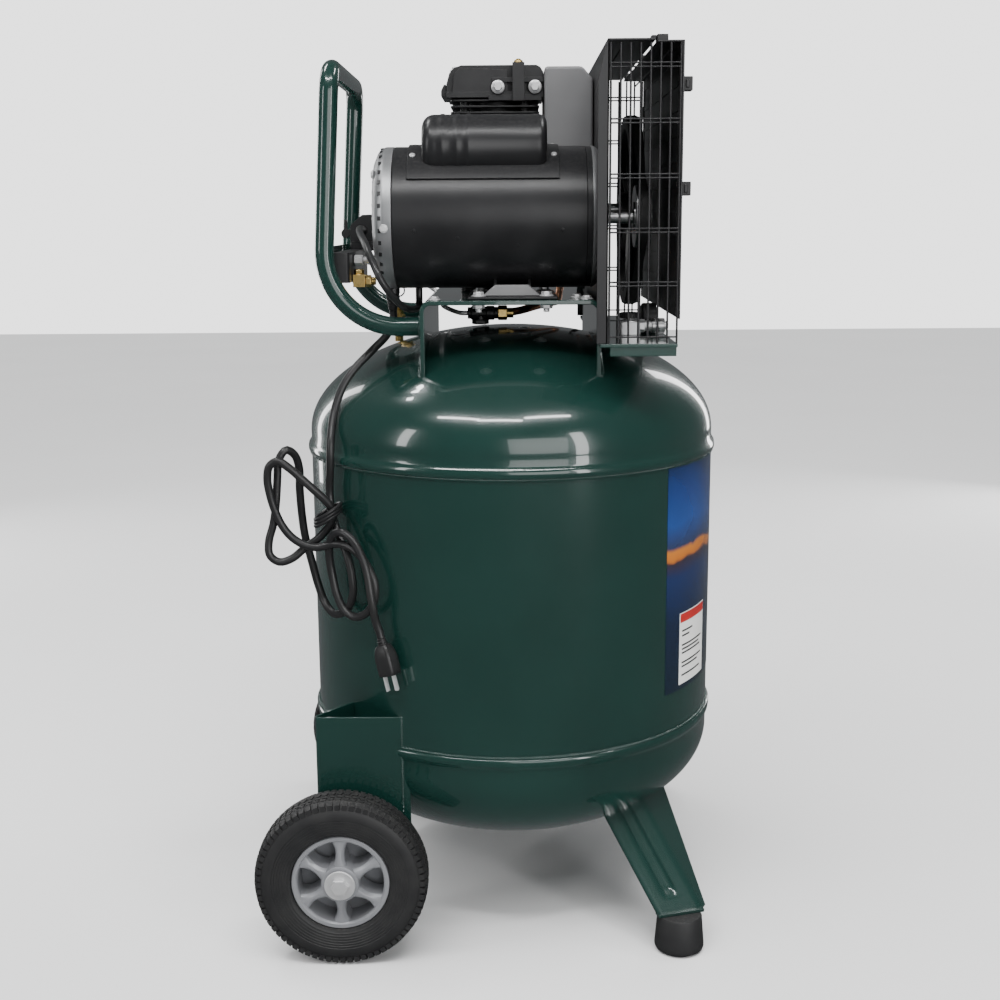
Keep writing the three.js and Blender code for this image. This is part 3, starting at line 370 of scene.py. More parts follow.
# %% Shader groups shared by all finishes
def shader_group(name, inputs, outputs):
    group = bpy.data.node_groups.new(name, "ShaderNodeTree")
    for label, kind, value in inputs:
        socket = group.interface.new_socket(label, in_out="INPUT", socket_type=kind)
        socket.default_value = value
    for label, kind in outputs:
        group.interface.new_socket(label, in_out="OUTPUT", socket_type=kind)
    return group, group.nodes.new("NodeGroupInput"), group.nodes.new("NodeGroupOutput")


def noise_of(group, size, vector, detail):
    """A noise whose pitch is a size in millimetres."""
    pitch = add_node(group, "ShaderNodeMath", {0: 1000.0, 1: size}, operation="DIVIDE").outputs[0]
    cloud = add_node(group, "ShaderNodeTexNoise", {"Detail": detail, "Vector": vector, "Scale": pitch})
    return pitch, cloud.outputs["Fac"]


def grain_group():
    """Height of a fine grain: Size is the pitch in millimetres, Coarse adds slow waves."""
    group, start, end = shader_group("surface grain", [
        ("Size", "NodeSocketFloat", 1.0), ("Coarse", "NodeSocketFloat", 0.3),
        ("Stretch", "NodeSocketVector", (1, 1, 1))], [("Height", "NodeSocketFloat")])
    where = add_node(group, "ShaderNodeTexCoord").outputs["Object"]
    stretch = add_node(group, "ShaderNodeVectorMath", {0: where, 1: start.outputs["Stretch"]},
                       operation="MULTIPLY").outputs[0]
    pitch, fine = noise_of(group, start.outputs["Size"], stretch, 3.0)
    wider = add_node(group, "ShaderNodeMath", {0: pitch, 1: 0.12}, operation="MULTIPLY").outputs[0]
    slow = add_node(group, "ShaderNodeTexNoise", {"Detail": 1.0, "Vector": stretch, "Scale": wider})
    mix = add_node(group, "ShaderNodeMix",
                   {"Factor": start.outputs["Coarse"], "A": fine, "B": slow.outputs["Fac"]})
    group.links.new(mix.outputs["Result"], end.inputs["Height"])
    return group


def tone_group():
    """Two close colours in soft patches of the given size in millimetres, and their mask."""
    group, start, end = shader_group("tone patches", [
        ("First", "NodeSocketColor", (1, 1, 1, 1)), ("Second", "NodeSocketColor", (1, 1, 1, 1)),
        ("Size", "NodeSocketFloat", 60.0), ("Edge", "NodeSocketFloat", 0.2)],
        [("Color", "NodeSocketColor"), ("Mask", "NodeSocketFloat")])
    where = add_node(group, "ShaderNodeTexCoord").outputs["Object"]
    _, cloud = noise_of(group, start.outputs["Size"], where, 4.0)
    low, high = [add_node(group, "ShaderNodeMath", {0: 0.5, 1: start.outputs["Edge"]}, operation=what)
                 for what in ("SUBTRACT", "ADD")]
    spread = add_node(group, "ShaderNodeMapRange", {
        "Value": cloud, "From Min": low.outputs[0], "From Max": high.outputs[0]}).outputs["Result"]
    mix = add_node(group, "ShaderNodeMix", data_type="RGBA", inputs={
        "Factor": spread, 6: start.outputs["First"], 7: start.outputs["Second"]})
    group.links.new(mix.outputs[2], end.inputs["Color"])
    group.links.new(spread, end.inputs["Mask"])
    return group


def dust_group():
    """How much dust lies on a spot: only what faces up, broken up by specks."""
    group, start, end = shader_group("settled dust", [
        ("Amount", "NodeSocketFloat", 0.2), ("Size", "NodeSocketFloat", 3.0)],
        [("Mask", "NodeSocketFloat")])
    where = add_node(group, "ShaderNodeTexCoord").outputs["Object"]
    facing = add_node(group, "ShaderNodeNewGeometry").outputs["Normal"]
    split = add_node(group, "ShaderNodeSeparateXYZ", {0: facing})
    up = add_node(group, "ShaderNodeMapRange", {"From Min": 0.35, "Value": split.outputs["Z"]})
    _, specks = noise_of(group, start.outputs["Size"], where, 5.0)
    some = add_node(group, "ShaderNodeMapRange", {"From Min": 0.42, "From Max": 0.75, "Value": specks})
    both = add_node(group, "ShaderNodeMath", {0: up.outputs["Result"], 1: some.outputs["Result"]},
                    operation="MULTIPLY")
    amount = add_node(group, "ShaderNodeMath", {0: both.outputs[0], 1: start.outputs["Amount"]},
                      operation="MULTIPLY")
    group.links.new(amount.outputs[0], end.inputs["Mask"])
    return group


GRAIN, TONE, DUST = grain_group(), tone_group(), dust_group()

# %% [markdown]
# One recipe covers paint, plastic, rubber and metal: two close tones, a grain that bumps the
# surface and shifts its roughness, and some dust. Constant values such as the clear coat are
# set on the shader itself.


# %% The recipe for a finish
DUST_TINT = (0.30, 0.29, 0.27, 1.0)


def rgba(color):
    return (*color, 1.0)


def finish(name, first, second, rough, metal=0.0, coat=0.0, grain=1.0, bump=0.1, depth=0.05,
           coarse=0.3, patches=60.0, dust=0.1, stretch=(1, 1, 1), spec=0.5, coat_rough=0.05):
    made = bpy.data.materials.new(name)
    made.use_nodes = True
    tree = made.node_tree
    shader = tree.nodes["Principled BSDF"]
    tone = add_node(tree, "ShaderNodeGroup", node_tree=TONE, inputs={
        "First": rgba(first), "Second": rgba(second), "Size": patches})
    bits = add_node(tree, "ShaderNodeGroup", node_tree=GRAIN, inputs={
        "Size": grain, "Coarse": coarse, "Stretch": stretch}).outputs["Height"]
    dusty = add_node(tree, "ShaderNodeGroup", node_tree=DUST, inputs={"Amount": dust}).outputs["Mask"]
    over = add_node(tree, "ShaderNodeMix", data_type="RGBA", inputs={
        "Factor": dusty, 6: tone.outputs["Color"], 7: DUST_TINT})
    gloss = add_node(tree, "ShaderNodeMapRange", {
        "To Min": rough * 0.82, "To Max": min(1.0, rough * 1.22), "Value": bits})
    dull = add_node(tree, "ShaderNodeMath", operation="MULTIPLY_ADD", use_clamp=True, inputs={
        0: dusty, 1: 0.5, 2: gloss.outputs["Result"]})
    bumps = add_node(tree, "ShaderNodeBump", {"Strength": bump, "Distance": depth * MM, "Height": bits})
    for label, socket in (("Base Color", over.outputs[2]), ("Roughness", dull.outputs[0]),
                          ("Normal", bumps.outputs["Normal"])):
        tree.links.new(socket, shader.inputs[label])
    for label, value in (("Metallic", metal), ("Coat Weight", coat), ("Coat Roughness", coat_rough),
                         ("Specular IOR Level", spec)):
        shader.inputs[label].default_value = value
    return made


# %% The compressor's finishes
ENAMEL = finish("green enamel", (0.0045, 0.024, 0.019), (0.006, 0.030, 0.024), 0.22, coat=1.0, grain=2.6,
                bump=0.35, depth=0.05, coarse=0.45, patches=140, dust=0.03, coat_rough=0.03)
BLACK_SHEET = finish("black powder coat", (0.008, 0.008, 0.009), (0.012, 0.012, 0.013), 0.36, grain=0.9,
                     bump=0.4, depth=0.04, dust=0.05)
MOTOR_PAINT = finish("black motor paint", (0.007, 0.007, 0.008), (0.012, 0.012, 0.013), 0.33, grain=1.1,
                     bump=0.4, depth=0.05, patches=40, dust=0.07)
BLACK_PLASTIC = finish("moulded black plastic", (0.010, 0.010, 0.011), (0.015, 0.015, 0.016), 0.42,
                       grain=0.5, bump=0.4, depth=0.03, dust=0.06)
# A mid grey laid on the black shroud and on the cradle's rib: a painted reflection that stands for the lamps'
# sheen on their satin black.
PAINTED_SHEEN_GREY = finish("grey for painted sheen", (0.15, 0.15, 0.154), (0.175, 0.175, 0.178), 0.36, grain=0.7,
                     bump=0.3, depth=0.03, dust=0.06)
RUBBER = finish("black rubber", (0.013, 0.013, 0.014), (0.020, 0.020, 0.020), 0.55, grain=0.6, bump=0.4,
                depth=0.04, dust=0.10)
CORD_SKIN = finish("cord jacket", (0.010, 0.010, 0.011), (0.016, 0.016, 0.016), 0.34, grain=0.8, bump=0.25,
                   depth=0.03, dust=0.03)
TYRE_RUBBER = finish("tyre rubber", (0.011, 0.011, 0.012), (0.018, 0.018, 0.018), 0.55, grain=0.8,
                     bump=0.6, depth=0.08, patches=25, dust=0.10)
WHEEL_GREY = finish("wheel grey", (0.24, 0.245, 0.26), (0.28, 0.285, 0.30), 0.34, metal=0.4, grain=0.8,
                    bump=0.2, depth=0.02, dust=0.06)
ZINC = finish("zinc plate", (0.72, 0.72, 0.73), (0.78, 0.78, 0.78), 0.38, metal=0.7, grain=0.7, bump=0.12,
              depth=0.01, patches=8, dust=0.01)
STEEL = finish("bare steel", (0.56, 0.56, 0.57), (0.64, 0.64, 0.64), 0.32, metal=1.0, grain=0.6, bump=0.15,
               depth=0.01, patches=12, dust=0.03)
CAST_SILVER = finish("cast alloy", (0.42, 0.43, 0.44), (0.52, 0.52, 0.53), 0.42, metal=0.9, grain=1.2,
                     bump=0.7, depth=0.06, patches=25, dust=0.10)
CAST_BLACK = finish("painted casting", (0.013, 0.013, 0.014), (0.021, 0.021, 0.022), 0.42, grain=1.3,
                    bump=0.9, depth=0.09, patches=22, dust=0.16)
BRASS = finish("brass", (0.74, 0.52, 0.18), (0.80, 0.58, 0.23), 0.28, metal=1.0, grain=0.6, bump=0.12,
               depth=0.01, patches=8, dust=0.02)
COPPER = finish("copper pipe", (0.80, 0.37, 0.20), (0.70, 0.30, 0.15), 0.28, metal=1.0, grain=0.8, bump=0.12,
                depth=0.01, patches=20, dust=0.02)
RED = finish("red plastic", (0.40, 0.012, 0.010), (0.48, 0.02, 0.016), 0.35, grain=0.5, bump=0.2, depth=0.02)
LABEL_WHITE = finish("white label film", (0.72, 0.72, 0.70), (0.78, 0.78, 0.76), 0.30, grain=0.5, bump=0.1,
                     depth=0.01, dust=0.02)
print(len(bpy.data.materials), "finishes,", len(bpy.data.node_groups), "node groups")

# %% [markdown]
# The camera stands level with the pump, 1.8 m from the tank's axis, and looks slightly down at the
# whole machine. Its place is given from the tank's axis, with the small turns of a hand-held view.

# %% Camera
lens = bpy.data.cameras.new("camera")
lens.lens = 50.6
camera = bpy.data.objects.new("camera", lens)
bpy.context.scene.collection.objects.link(camera)
bpy.context.scene.camera = camera
camera.location = (AXIS_X, -1.787, 0.863)
LOOK_YAW, LOOK_PITCH, LOOK_ROLL = radians(0.48), radians(11.43), radians(0.42)
turn = Matrix.Rotation(LOOK_YAW, 4, "Z") @ Matrix.Rotation(pi / 2 - LOOK_PITCH, 4, "X")
camera.rotation_euler = (turn @ Matrix.Rotation(-LOOK_ROLL, 4, "Z")).to_euler()
print("camera at", [round(v, 3) for v in camera.location])

# %% [markdown]
# The mains cord is one length of round rubber cable. It leaves a strain relief under the motor,
# drops over the tank's shoulder and is wound into a hank of long loops, tied round its waist, with
# the plug hanging out below. It is a tube carried along one smooth line through the points below,
# which down to the hank are the points of the CAD's drop.

# %% Mains cord: the route
CORD_R = 4.8
MOTOR_Y, MOTOR_Z, MOTOR_R = -77, 861, 82.5
relief_low, relief_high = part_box("strain_relief")
CORD_EXIT = (-142, MOTOR_Y, relief_low.z / MM - 0.3)
ROUTE = [
    CORD_EXIT, (-142, -77, 742), (-148, -86, 725), (-166, -108, 706), (-184, -120, 688),
    (-198, -129, 668), (-207, -136, 645), (-211, -148, 622), (-212, -160, 600), (-213, -161, 575),
    (-215, -157, 552), (-215, -157, 538), (-212, -163, 518), (-204, -176, 498), (-194, -188, 478),
    (-187, -196, 452), (-187, -197, 426), (-197, -188, 407), (-211, -176, 400), (-224, -160, 409),
    (-233, -152, 430), (-240, -150, 458), (-247, -150, 490), (-250, -151, 520), (-251, -153, 550),
    (-250, -157, 572), (-254, -163, 590), (-263, -170, 597), (-271, -174, 586), (-273, -176, 566),
    (-275, -178, 540), (-279, -180, 512), (-285, -182, 490), (-284, -184, 474), (-273, -184, 466),
    (-258, -182, 470), (-243, -178, 482), (-226, -177, 494), (-213, -176, 510), (-210, -178, 526),
    (-217, -182, 539), (-229, -186, 552), (-243, -188, 566), (-257, -189, 579), (-270, -189, 587),
    (-280, -188, 581), (-283, -187, 566), (-281, -186, 548), (-276, -186, 529), (-269, -186, 512),
    (-258, -186, 497), (-243, -186, 487), (-227, -186, 484), (-209, -187, 488), (-192, -196, 488),
    (-177, -206, 480), (-165, -214, 464), (-158, -219, 446), (-160, -219, 426), (-170, -212, 411),
    (-184, -203, 404), (-197, -195, 410), (-206, -188, 426), (-211, -183, 446), (-214, -182, 466),
    (-214, -184, 484), (-208, -190, 500), (-195, -199, 504), (-182, -207, 494), (-172, -214, 476),
    (-166, -219, 456), (-163, -223, 436), (-160, -224, 418), (-158, -222, 404), (-153.7, -222, 390.7),
    (-152, -223, 384.3),
]
cord_line = smooth_path(ROUTE, 4.0)

# %% Mains cord: jacket, tie, plug and strain relief
cord = piece(Stock().bar(cord_line, CORD_R, 14), "mains_cord", CORD_SKIN,
             stands_for=("cord_drop", "cord_hank", "cord_tail"), sharp=80)

PLUG_TOP, PLUG_LEAN, PLUG_TURN, PLUG_LENGTH = Vector((-152, -223, 384)), 0.28, -0.54, 44
plug_place = (Matrix.Translation(PLUG_TOP) @ Matrix.Rotation(PLUG_TURN, 4, "Z")
              @ Matrix.Rotation(-PLUG_LEAN, 4, "Y"))
plug = Stock()
for i in range(3):
    z = -i * 3.1
    plug.rod(5.3 + 0.42 * i, z - 1.9, z, steps=20, edge=0.5, place=plug_place)
plug.rod(4.9, -19, 0, steps=16, place=plug_place)


def rounded_box(x, y, r, steps=5):
    """Outline of a rectangle of half sizes x and y with corners of radius r."""
    outline = []
    for cx, cy, start in ((x - r, y - r, 0), (r - x, y - r, 90), (r - x, r - y, 180), (x - r, r - y, 270)):
        for k in range(steps + 1):
            a = radians(start + 90 * k / steps)
            outline.append((cx + r * cos(a), cy + r * sin(a)))
    return outline


levels = [(-8, 0.6), (-11, 0.76), (-16, 0.9), (-22, 1.0), (-40, 1.0), (-43, 0.97), (-44, 0.9)]
plug.lofted([[(x, y, z) for x, y in rounded_box(11.6 * s, 10.2 * s, 5.2 * s)] for z, s in levels], plug_place)
for i in range(4):
    for side in (-1, 1):
        plug.block(side * 10.9, side * 11.7, -6, 6, -26 - i * 3.4, -27.6 - i * 3.4, plug_place)
plug_body = piece(plug, "plug_body_moulded", CORD_SKIN, stands_for="plug_body", sharp=40)

pins = Stock()
for side in (-1, 1):
    pins.block(side * 5.6, side * 7.1, -6.1, 0, -PLUG_LENGTH - 18, -PLUG_LENGTH + 2, plug_place)
ground = Matrix.Translation((0, 5.9, 0))
pins.turned([(0, -PLUG_LENGTH - 20.9), (1.4, -PLUG_LENGTH - 20.5), (2.35, -PLUG_LENGTH - 18.5),
             (2.35, -PLUG_LENGTH + 2), (0, -PLUG_LENGTH + 2)], steps=16, place=plug_place @ ground)
plug_pins = piece(pins, "plug_pins", ZINC, stands_for="plug_blades", bevel=0.25)

relief = Stock()
low, high = relief_low.z / MM, relief_high.z / MM
relief.turned([(0, low), (5.3, low), (6.6, low + 10), (8.2, low + 19), (8.9, low + 20),
               (8.9, high), (0, high)], centre=(-142, MOTOR_Y, 0), steps=24)
for i in range(4):
    relief.rod(6.5 + 0.62 * i, low + 3.4 + 4.3 * i, low + 5.6 + 4.3 * i, centre=(-142, MOTOR_Y, 0), steps=24)
piece(relief, "strain_relief_boot", CORD_SKIN, stands_for="strain_relief")

tie = Stock()
for turn in range(3):
    ring = []
    for k in range(40):
        a = 2 * pi * k / 40
        ring.append((-216 + 15 * cos(a), -171.5 + 20.5 * sin(a), 516 + 4 * turn + 9 * cos(a)))
    tie.bar(ring, 2.1, 10, loop=True)
cord_tie = piece(tie, "cord_tie", CORD_SKIN)

# %% [markdown]
# The tank is a rolled steel shell between two deep-dished heads. Each head ends in a lip that
# laps over the shell and is welded round its edge. All three are bodies of revolution, so each is
# an outline turned about the axis; the outline has an inner wall too, as the real sheet does.

# %% Tank
TANGENT_LOW, TANGENT_HIGH, HEAD_DEPTH, WALL = 215, 601, 127, 3
SEAM_LOW, SEAM_HIGH, LIP = 241, 582, 4
TANK_STEPS = 192


def dome(radius, depth, steps):
    return [(radius * cos(a), depth * sin(a)) for a in [pi / 2 * k / steps for k in range(1, steps)]]


def dished_head(tangent, seam, up):
    outer = [(r, tangent + up * h) for r, h in dome(TANK_R, HEAD_DEPTH, 48)]
    inner = [(r, tangent + up * h) for r, h in dome(TANK_R - WALL, HEAD_DEPTH - WALL, 24)]
    lip = [(0.3, -6), (1.6, -6), (3.0, -5.2), (LIP, -3.4), (LIP, 0), (LIP - 0.4, 2.6), (2.4, 4.8), (0.8, 6.4)]
    outline = [(TANK_R - WALL, seam + up * 0.3), (TANK_R + 0.3, seam + up * 0.3)]
    outline += [(TANK_R + out, seam + up * rise) for out, rise in lip]
    outline += [(TANK_R, seam + up * 9), (TANK_R, tangent)] + outer + [(0, tangent + up * HEAD_DEPTH)]
    outline += [(0, tangent + up * (HEAD_DEPTH - WALL))] + inner[::-1] + [(TANK_R - WALL, tangent)]
    return Stock().turned(outline, steps=TANK_STEPS)


def dome_height(x, y):
    """Height of the top head over a spot."""
    return TANGENT_HIGH + HEAD_DEPTH * sqrt(max(0.0, 1 - (x * x + y * y) / TANK_R ** 2))


barrel = Stock().turned([(TANK_R - WALL, SEAM_LOW), (TANK_R, SEAM_LOW), (TANK_R, SEAM_HIGH),
                         (TANK_R - WALL, SEAM_HIGH)], steps=TANK_STEPS)
piece(barrel, "tank_barrel", ENAMEL, stands_for="tank_shell", sharp=50)
piece(dished_head(TANGENT_HIGH, SEAM_HIGH, 1), "tank_head_upper", ENAMEL, stands_for="tank_top_head",
      sharp=60)
piece(dished_head(TANGENT_LOW, SEAM_LOW, -1), "tank_head_lower", ENAMEL, stands_for="tank_bottom_head",
      sharp=60)

# %% [markdown]
# A weld is a row of small overlapping ripples along a joint. This Geometry Nodes tree lays
# flattened beads along any line, each a little different in size from a fixed seed, so every
# welded joint of the compressor uses the one tree with its own line, bead size and count.


# %% Welds
def weld_tree():
    kinds = [("Bead", "NodeSocketFloat"), ("Pitch", "NodeSocketFloat"), ("Unevenness", "NodeSocketFloat"),
             ("Seed", "NodeSocketInt"), ("Material", "NodeSocketMaterial")]
    tree, ids, start, end = node_tree("weld beads", kinds)
    given = start.outputs
    line = add_node(tree, "GeometryNodeMeshToCurve", {0: given["Geometry"]})
    even = add_node(tree, "GeometryNodeResampleCurve", mode="LENGTH", inputs={
        "Curve": line.outputs[0], "Length": given["Pitch"]})
    bead = add_node(tree, "GeometryNodeMeshIcoSphere", {"Subdivisions": 2, "Radius": given["Bead"]})
    one_less, one_more = [add_node(tree, "ShaderNodeMath", {0: 1.0, 1: given["Unevenness"]}, operation=what)
                          for what in ("SUBTRACT", "ADD")]
    size = add_node(tree, "FunctionNodeRandomValue", data_type="FLOAT", inputs={
        2: one_less.outputs[0], 3: one_more.outputs[0], "Seed": given["Seed"]})
    lay = add_node(tree, "GeometryNodeInstanceOnPoints", {
        "Points": even.outputs[0], "Instance": bead.outputs["Mesh"], "Scale": size.outputs[1]})
    real = add_node(tree, "GeometryNodeRealizeInstances", {0: lay.outputs[0]})
    smooth = add_node(tree, "GeometryNodeSetShadeSmooth", {0: real.outputs[0]})
    paint = add_node(tree, "GeometryNodeSetMaterial", {
        "Geometry": smooth.outputs[0], "Material": given["Material"]})
    tree.links.new(paint.outputs[0], end.inputs[0])
    return tree, ids


WELD, WELD_ID = weld_tree()


def weld(name, lines, bead=2.2, pitch=2.4, uneven=0.22, seed=1, material=ENAMEL):
    base = bpy.data.meshes.new(name)
    verts, edges = [], []
    for path in lines:
        first = len(verts)
        verts += [(p[0] * MM + AXIS_X, p[1] * MM, p[2] * MM) for p in path]
        edges += [(first + i, first + i + 1) for i in range(len(path) - 1)]
    base.from_pydata(verts, edges, [])
    thing = bpy.data.objects.new(name, base)
    bpy.context.scene.collection.objects.link(thing)
    beads = thing.modifiers.new("beads", "NODES")
    beads.node_group = WELD
    values = {"Bead": bead * MM, "Pitch": pitch * MM, "Unevenness": uneven, "Seed": seed,
              "Material": material}
    for label, value in values.items():
        beads[WELD_ID[label]] = value
    thing.data = made = made_real(thing)
    settle(thing, "compressor")
    return len(made.polygons)


def ring_line(r, z, steps=240):
    return [(r * cos(2 * pi * k / steps), r * sin(2 * pi * k / steps), z) for k in range(steps + 1)]


beads = weld("seam_weld_upper", [ring_line(TANK_R + 0.3, SEAM_HIGH - 7)], 2.1, 2.6, seed=3)
beads += weld("seam_weld_lower", [ring_line(TANK_R + 0.3, SEAM_LOW + 7)], 2.1, 2.6, seed=4)
print("weld faces:", beads)

# %% [markdown]
# Folded brackets, the saddle and the guard's shelf are bent from flat sheet. A folded sheet is a line
# with rounded corners, given a wall on one side and carried across its width.


# %% Folded sheet
def folded(corners, wall, bend, steps=6):
    """Closed outline of a folded sheet; a positive wall lies to the left of its line."""
    outer = rounded_corners([(u, v, 0) for u, v in corners], bend, steps)
    inner = []
    for i, p in enumerate(outer):
        along = (outer[min(i + 1, len(outer) - 1)] - outer[max(i - 1, 0)]).normalized()
        inner.append(p + Vector((-along.y, along.x, 0)) * wall)
    return [(p.x, p.y) for p in outer + inner[::-1]]


WHEEL_X, WHEEL_R, BRACKET_Y, BRACKET_WALL = -202, 102, 219, 3
BRACKET_LOW, BRACKET_HIGH = 75, 286
for name, side in (("near", -1), ("far", 1)):
    line = folded([(-122, BRACKET_Y), (-240, BRACKET_Y), (-191, 159)], BRACKET_WALL, 6)
    sheet = Stock().pressed([(x, side * y) for x, y in line], BRACKET_LOW, BRACKET_HIGH)
    piece(sheet, f"wheel_bracket_{name}_folded", ENAMEL, stands_for=f"wheel_bracket_{name}", bevel=0.8,
          sharp=40)
    edge = sqrt(TANK_R ** 2 - BRACKET_Y ** 2)
    joint = [(-edge - 2.5, side * (BRACKET_Y - 1), z) for z in range(168, 284, 2)]
    weld(f"bracket_weld_{name}", [joint], 2.0, 2.2, seed=5 + side)

# %% [markdown]
# Each front leg is pressed from sheet: a broad face with a long stamped groove that stiffens it,
# a flange folded back along one edge and a rolled lip on the other. It is a grid across and along
# the leg that follows this section, with the groove pushed in, and a second grid behind it for the wall.

# %% Front legs and rubber feet
FOOT_X, FOOT_Y, FOOT_HEIGHT = 198, 236, 45
LEG_WIDTH, LEG_FLANGE, LEG_WALL = 58, 78, 4


def front_leg(side):
    face, flange = radians(-74), radians(-26)
    across = Vector((-sin(face), cos(face), 0))
    back = Vector((-sin(flange), cos(flange), 0))
    out = Vector((cos(face), sin(face), 0))
    low = Vector((FOOT_X + 1, -FOOT_Y - 3, FOOT_HEIGHT + 2))
    high = low.lerp(Vector((136, -170, 150)), 1.22)
    rows, columns = 64, 30
    section = []
    for i in range(columns + 1):
        u = i / columns
        if u < 0.08:
            spot = across * (-LEG_WIDTH / 2 + 2.5 * (1 - cos(u / 0.08 * pi / 2))) - out * 4.0 * (1 - u / 0.08)
        elif u < 0.62:
            spot = across * (-LEG_WIDTH / 2 + 2.5 + (LEG_WIDTH - 7.5) * (u - 0.08) / 0.54)
        elif u < 0.72:
            t = (u - 0.62) / 0.10
            spot = across * (LEG_WIDTH / 2 - 5) + across * 5 * t * (2 - t) * 0.8 + back * 5 * t * t
        else:
            spot = across * (LEG_WIDTH / 2 - 1) + back * 5
        section.append((u, spot))
    front = []
    for j in range(rows + 1):
        v = j / rows
        middle = low.lerp(high, v)
        reach = 12 + (LEG_FLANGE - 12) * v
        for u, spot in section:
            point = middle + spot
            if u >= 0.72:
                point = point + back * (reach - 5) * (u - 0.72) / 0.28
            along = (v - 0.12) / 0.88
            wide = abs((u - 0.36) / 0.105)
            if along > 0:
                ends = min(1.0, along / 0.06)
                push = max(0.0, 1 - max(0.0, wide - 0.55) / 0.45) if wide < 1 else 0.0
                point -= out * 4.5 * (push * push * (3 - 2 * push)) * ends
            front.append(point)
    behind = []
    for k, point in enumerate(front):
        u = (k % (columns + 1)) / columns
        inward = -out if u < 0.64 else Vector((-cos(flange), -sin(flange), 0))
        behind.append(point + inward * LEG_WALL)
    wide = columns + 1
    faces = []
    total = len(front)
    for j in range(rows):
        for i in range(columns):
            a = j * wide + i
            faces.append([a, a + 1, a + wide + 1, a + wide])
            faces.append([total + a, total + a + wide, total + a + wide + 1, total + a + 1])
        for a in (j * wide, j * wide + columns):
            quad = [a, a + wide, total + a + wide, total + a]
            faces.append(quad if a % wide == 0 else quad[::-1])
    for i in range(columns):
        faces.append([i, total + i, total + i + 1, i + 1])
        a = rows * wide + i
        faces.append([a, a + 1, total + a + 1, total + a])
    leg = Stock().put(front + behind, faces)
    sole = [low + across * (LEG_WIDTH / 2 * s) + out * d for s, d in ((-1, 3.5), (1, 3.5), (1, -8), (-1, -8))]
    leg.pressed([(p.x, p.y) for p in sole], FOOT_HEIGHT, FOOT_HEIGHT + LEG_WALL)
    if side > 0:
        leg.verts = [Vector((p.x, -p.y, p.z)) for p in leg.verts]
        leg.faces = [f[::-1] for f in leg.faces]
    return leg


for name, side in (("near", -1), ("far", 1)):
    piece(front_leg(side), f"front_leg_{name}_pressed", ENAMEL, stands_for=f"front_leg_{name}", bevel=0.7,
          sharp=34)
    foot = [(0, 0), (22, 0), (22, 1.5), (25.5, 1.2), (28.2, 3.0), (29.4, 6.2), (29.3, 10), (26.6, 42.6),
            (25.4, 44.6), (0, 44.7)]
    piece(Stock().turned(foot, centre=(FOOT_X, side * FOOT_Y, 0), steps=56), f"rubber_foot_{name}_moulded",
          RUBBER, stands_for=f"rubber_foot_{name}", sharp=50)
print("legs and feet made")

# %% [markdown]
# The wheels have solid rubber tyres on moulded six-spoke rims. The tyre is turned with fine moulding
# rings on its walls; its tread is one set of chevron blocks and lugs repeated round the axle by the tree.

# %% Wheels
TYRE_WIDTH, TYRE_BORE = 54, 58
TYRE_IN = BRACKET_Y + 6.5
TYRE_MID = TYRE_IN + TYRE_WIDTH / 2
TREAD = 1.4
TREAD_BLOCKS = 72


def tyre_outline():
    """Half of the tyre's section from bead to crown; the other half mirrors it."""
    half = TYRE_WIDTH / 2
    wall = [(TYRE_BORE, half - 9), (TYRE_BORE + 1.2, half - 6.4), (TYRE_BORE + 3.4, half - 5.6)]
    r = TYRE_BORE + 4.0
    while r < 82:
        bulge = 3.4 * sin((r - TYRE_BORE - 4) / 22 * pi / 2)
        wall += [(r, half - 5.2 + bulge), (r + 0.5, half - 4.7 + bulge), (r + 1.3, half - 4.7 + bulge)]
        r += 3.0
    wall += [(84, half - 1.4), (88, half - 2.2), (93, half - 4.4), (96.4, half - 7.2),
             (WHEEL_R - TREAD, half - 12)]
    return wall


def tread_block(side):
    """The tread that repeats, at the top of the tyre: chevron blocks and shoulder lugs."""
    half, r = TYRE_WIDTH / 2, WHEEL_R
    place = Matrix.Translation((WHEEL_X, side * TYRE_MID, WHEEL_R))
    block = Stock()
    for s in (-1, 1):
        inner = [(-3.6, s * 1.0), (1.6, s * 1.0), (3.8, s * 6.6), (-1.4, s * 6.6)]
        block.pressed(inner, r - TREAD - 1.4, r - 0.1, place=place)
        outer = [(-1.6, s * 7.8), (3.6, s * 7.8), (1.8, s * 13.4), (-3.4, s * 13.4)]
        block.pressed(outer, r - TREAD - 2, r - 0.6, place=place)
        lug = [(x, s * y, z) for y, drop in ((14.2, 0), (half - 3.6, 2.6))
               for x, z in ((-3.5, r - 0.9 - drop), (2.3, r - 0.9 - drop), (2.5, r - 9.5), (-3.7, r - 9.5))]
        block.wedge(lug, place)
    return block


def tyre(side):
    right = tyre_outline()
    outline = right + [(r, -h) for r, h in right[::-1]]
    return Stock().turned(outline, "y", (WHEEL_X, side * TYRE_MID, WHEEL_R), 128)


def rim(side):
    """A six-spoke rim's outer band, boss and the web between them; its dished spokes, flared at both ends,
    are made apart and joined.
    """
    half = TYRE_WIDTH / 2
    out = side
    mid = side * TYRE_MID
    made = Stock()
    face = half - 8.3
    band = [(50.2, -face), (57.6, -face), (57.6, face - 1.2), (56.8, face), (52.4, face), (50.6, face - 2.4),
            (50.2, 0)]
    made.turned([(r, out * h) for r, h in band], "y", (WHEEL_X, mid, WHEEL_R), 96)
    boss = [(8.4, -half + 1), (20, -half + 1), (22.8, -half + 3), (22.8, half - 7), (21.4, half - 4.2),
            (18.6, half - 3.2), (8.4, half - 3.2)]
    made.turned([(r, out * h) for r, h in boss], "y", (WHEEL_X, mid, WHEEL_R), 64)
    web = [(21.5, -18.6), (51.5, -18.6), (51.5, -15.6), (21.5, -15.6)]
    made.turned([(r, out * h) for r, h in web], "y", (WHEEL_X, mid, WHEEL_R), 64)
    return made


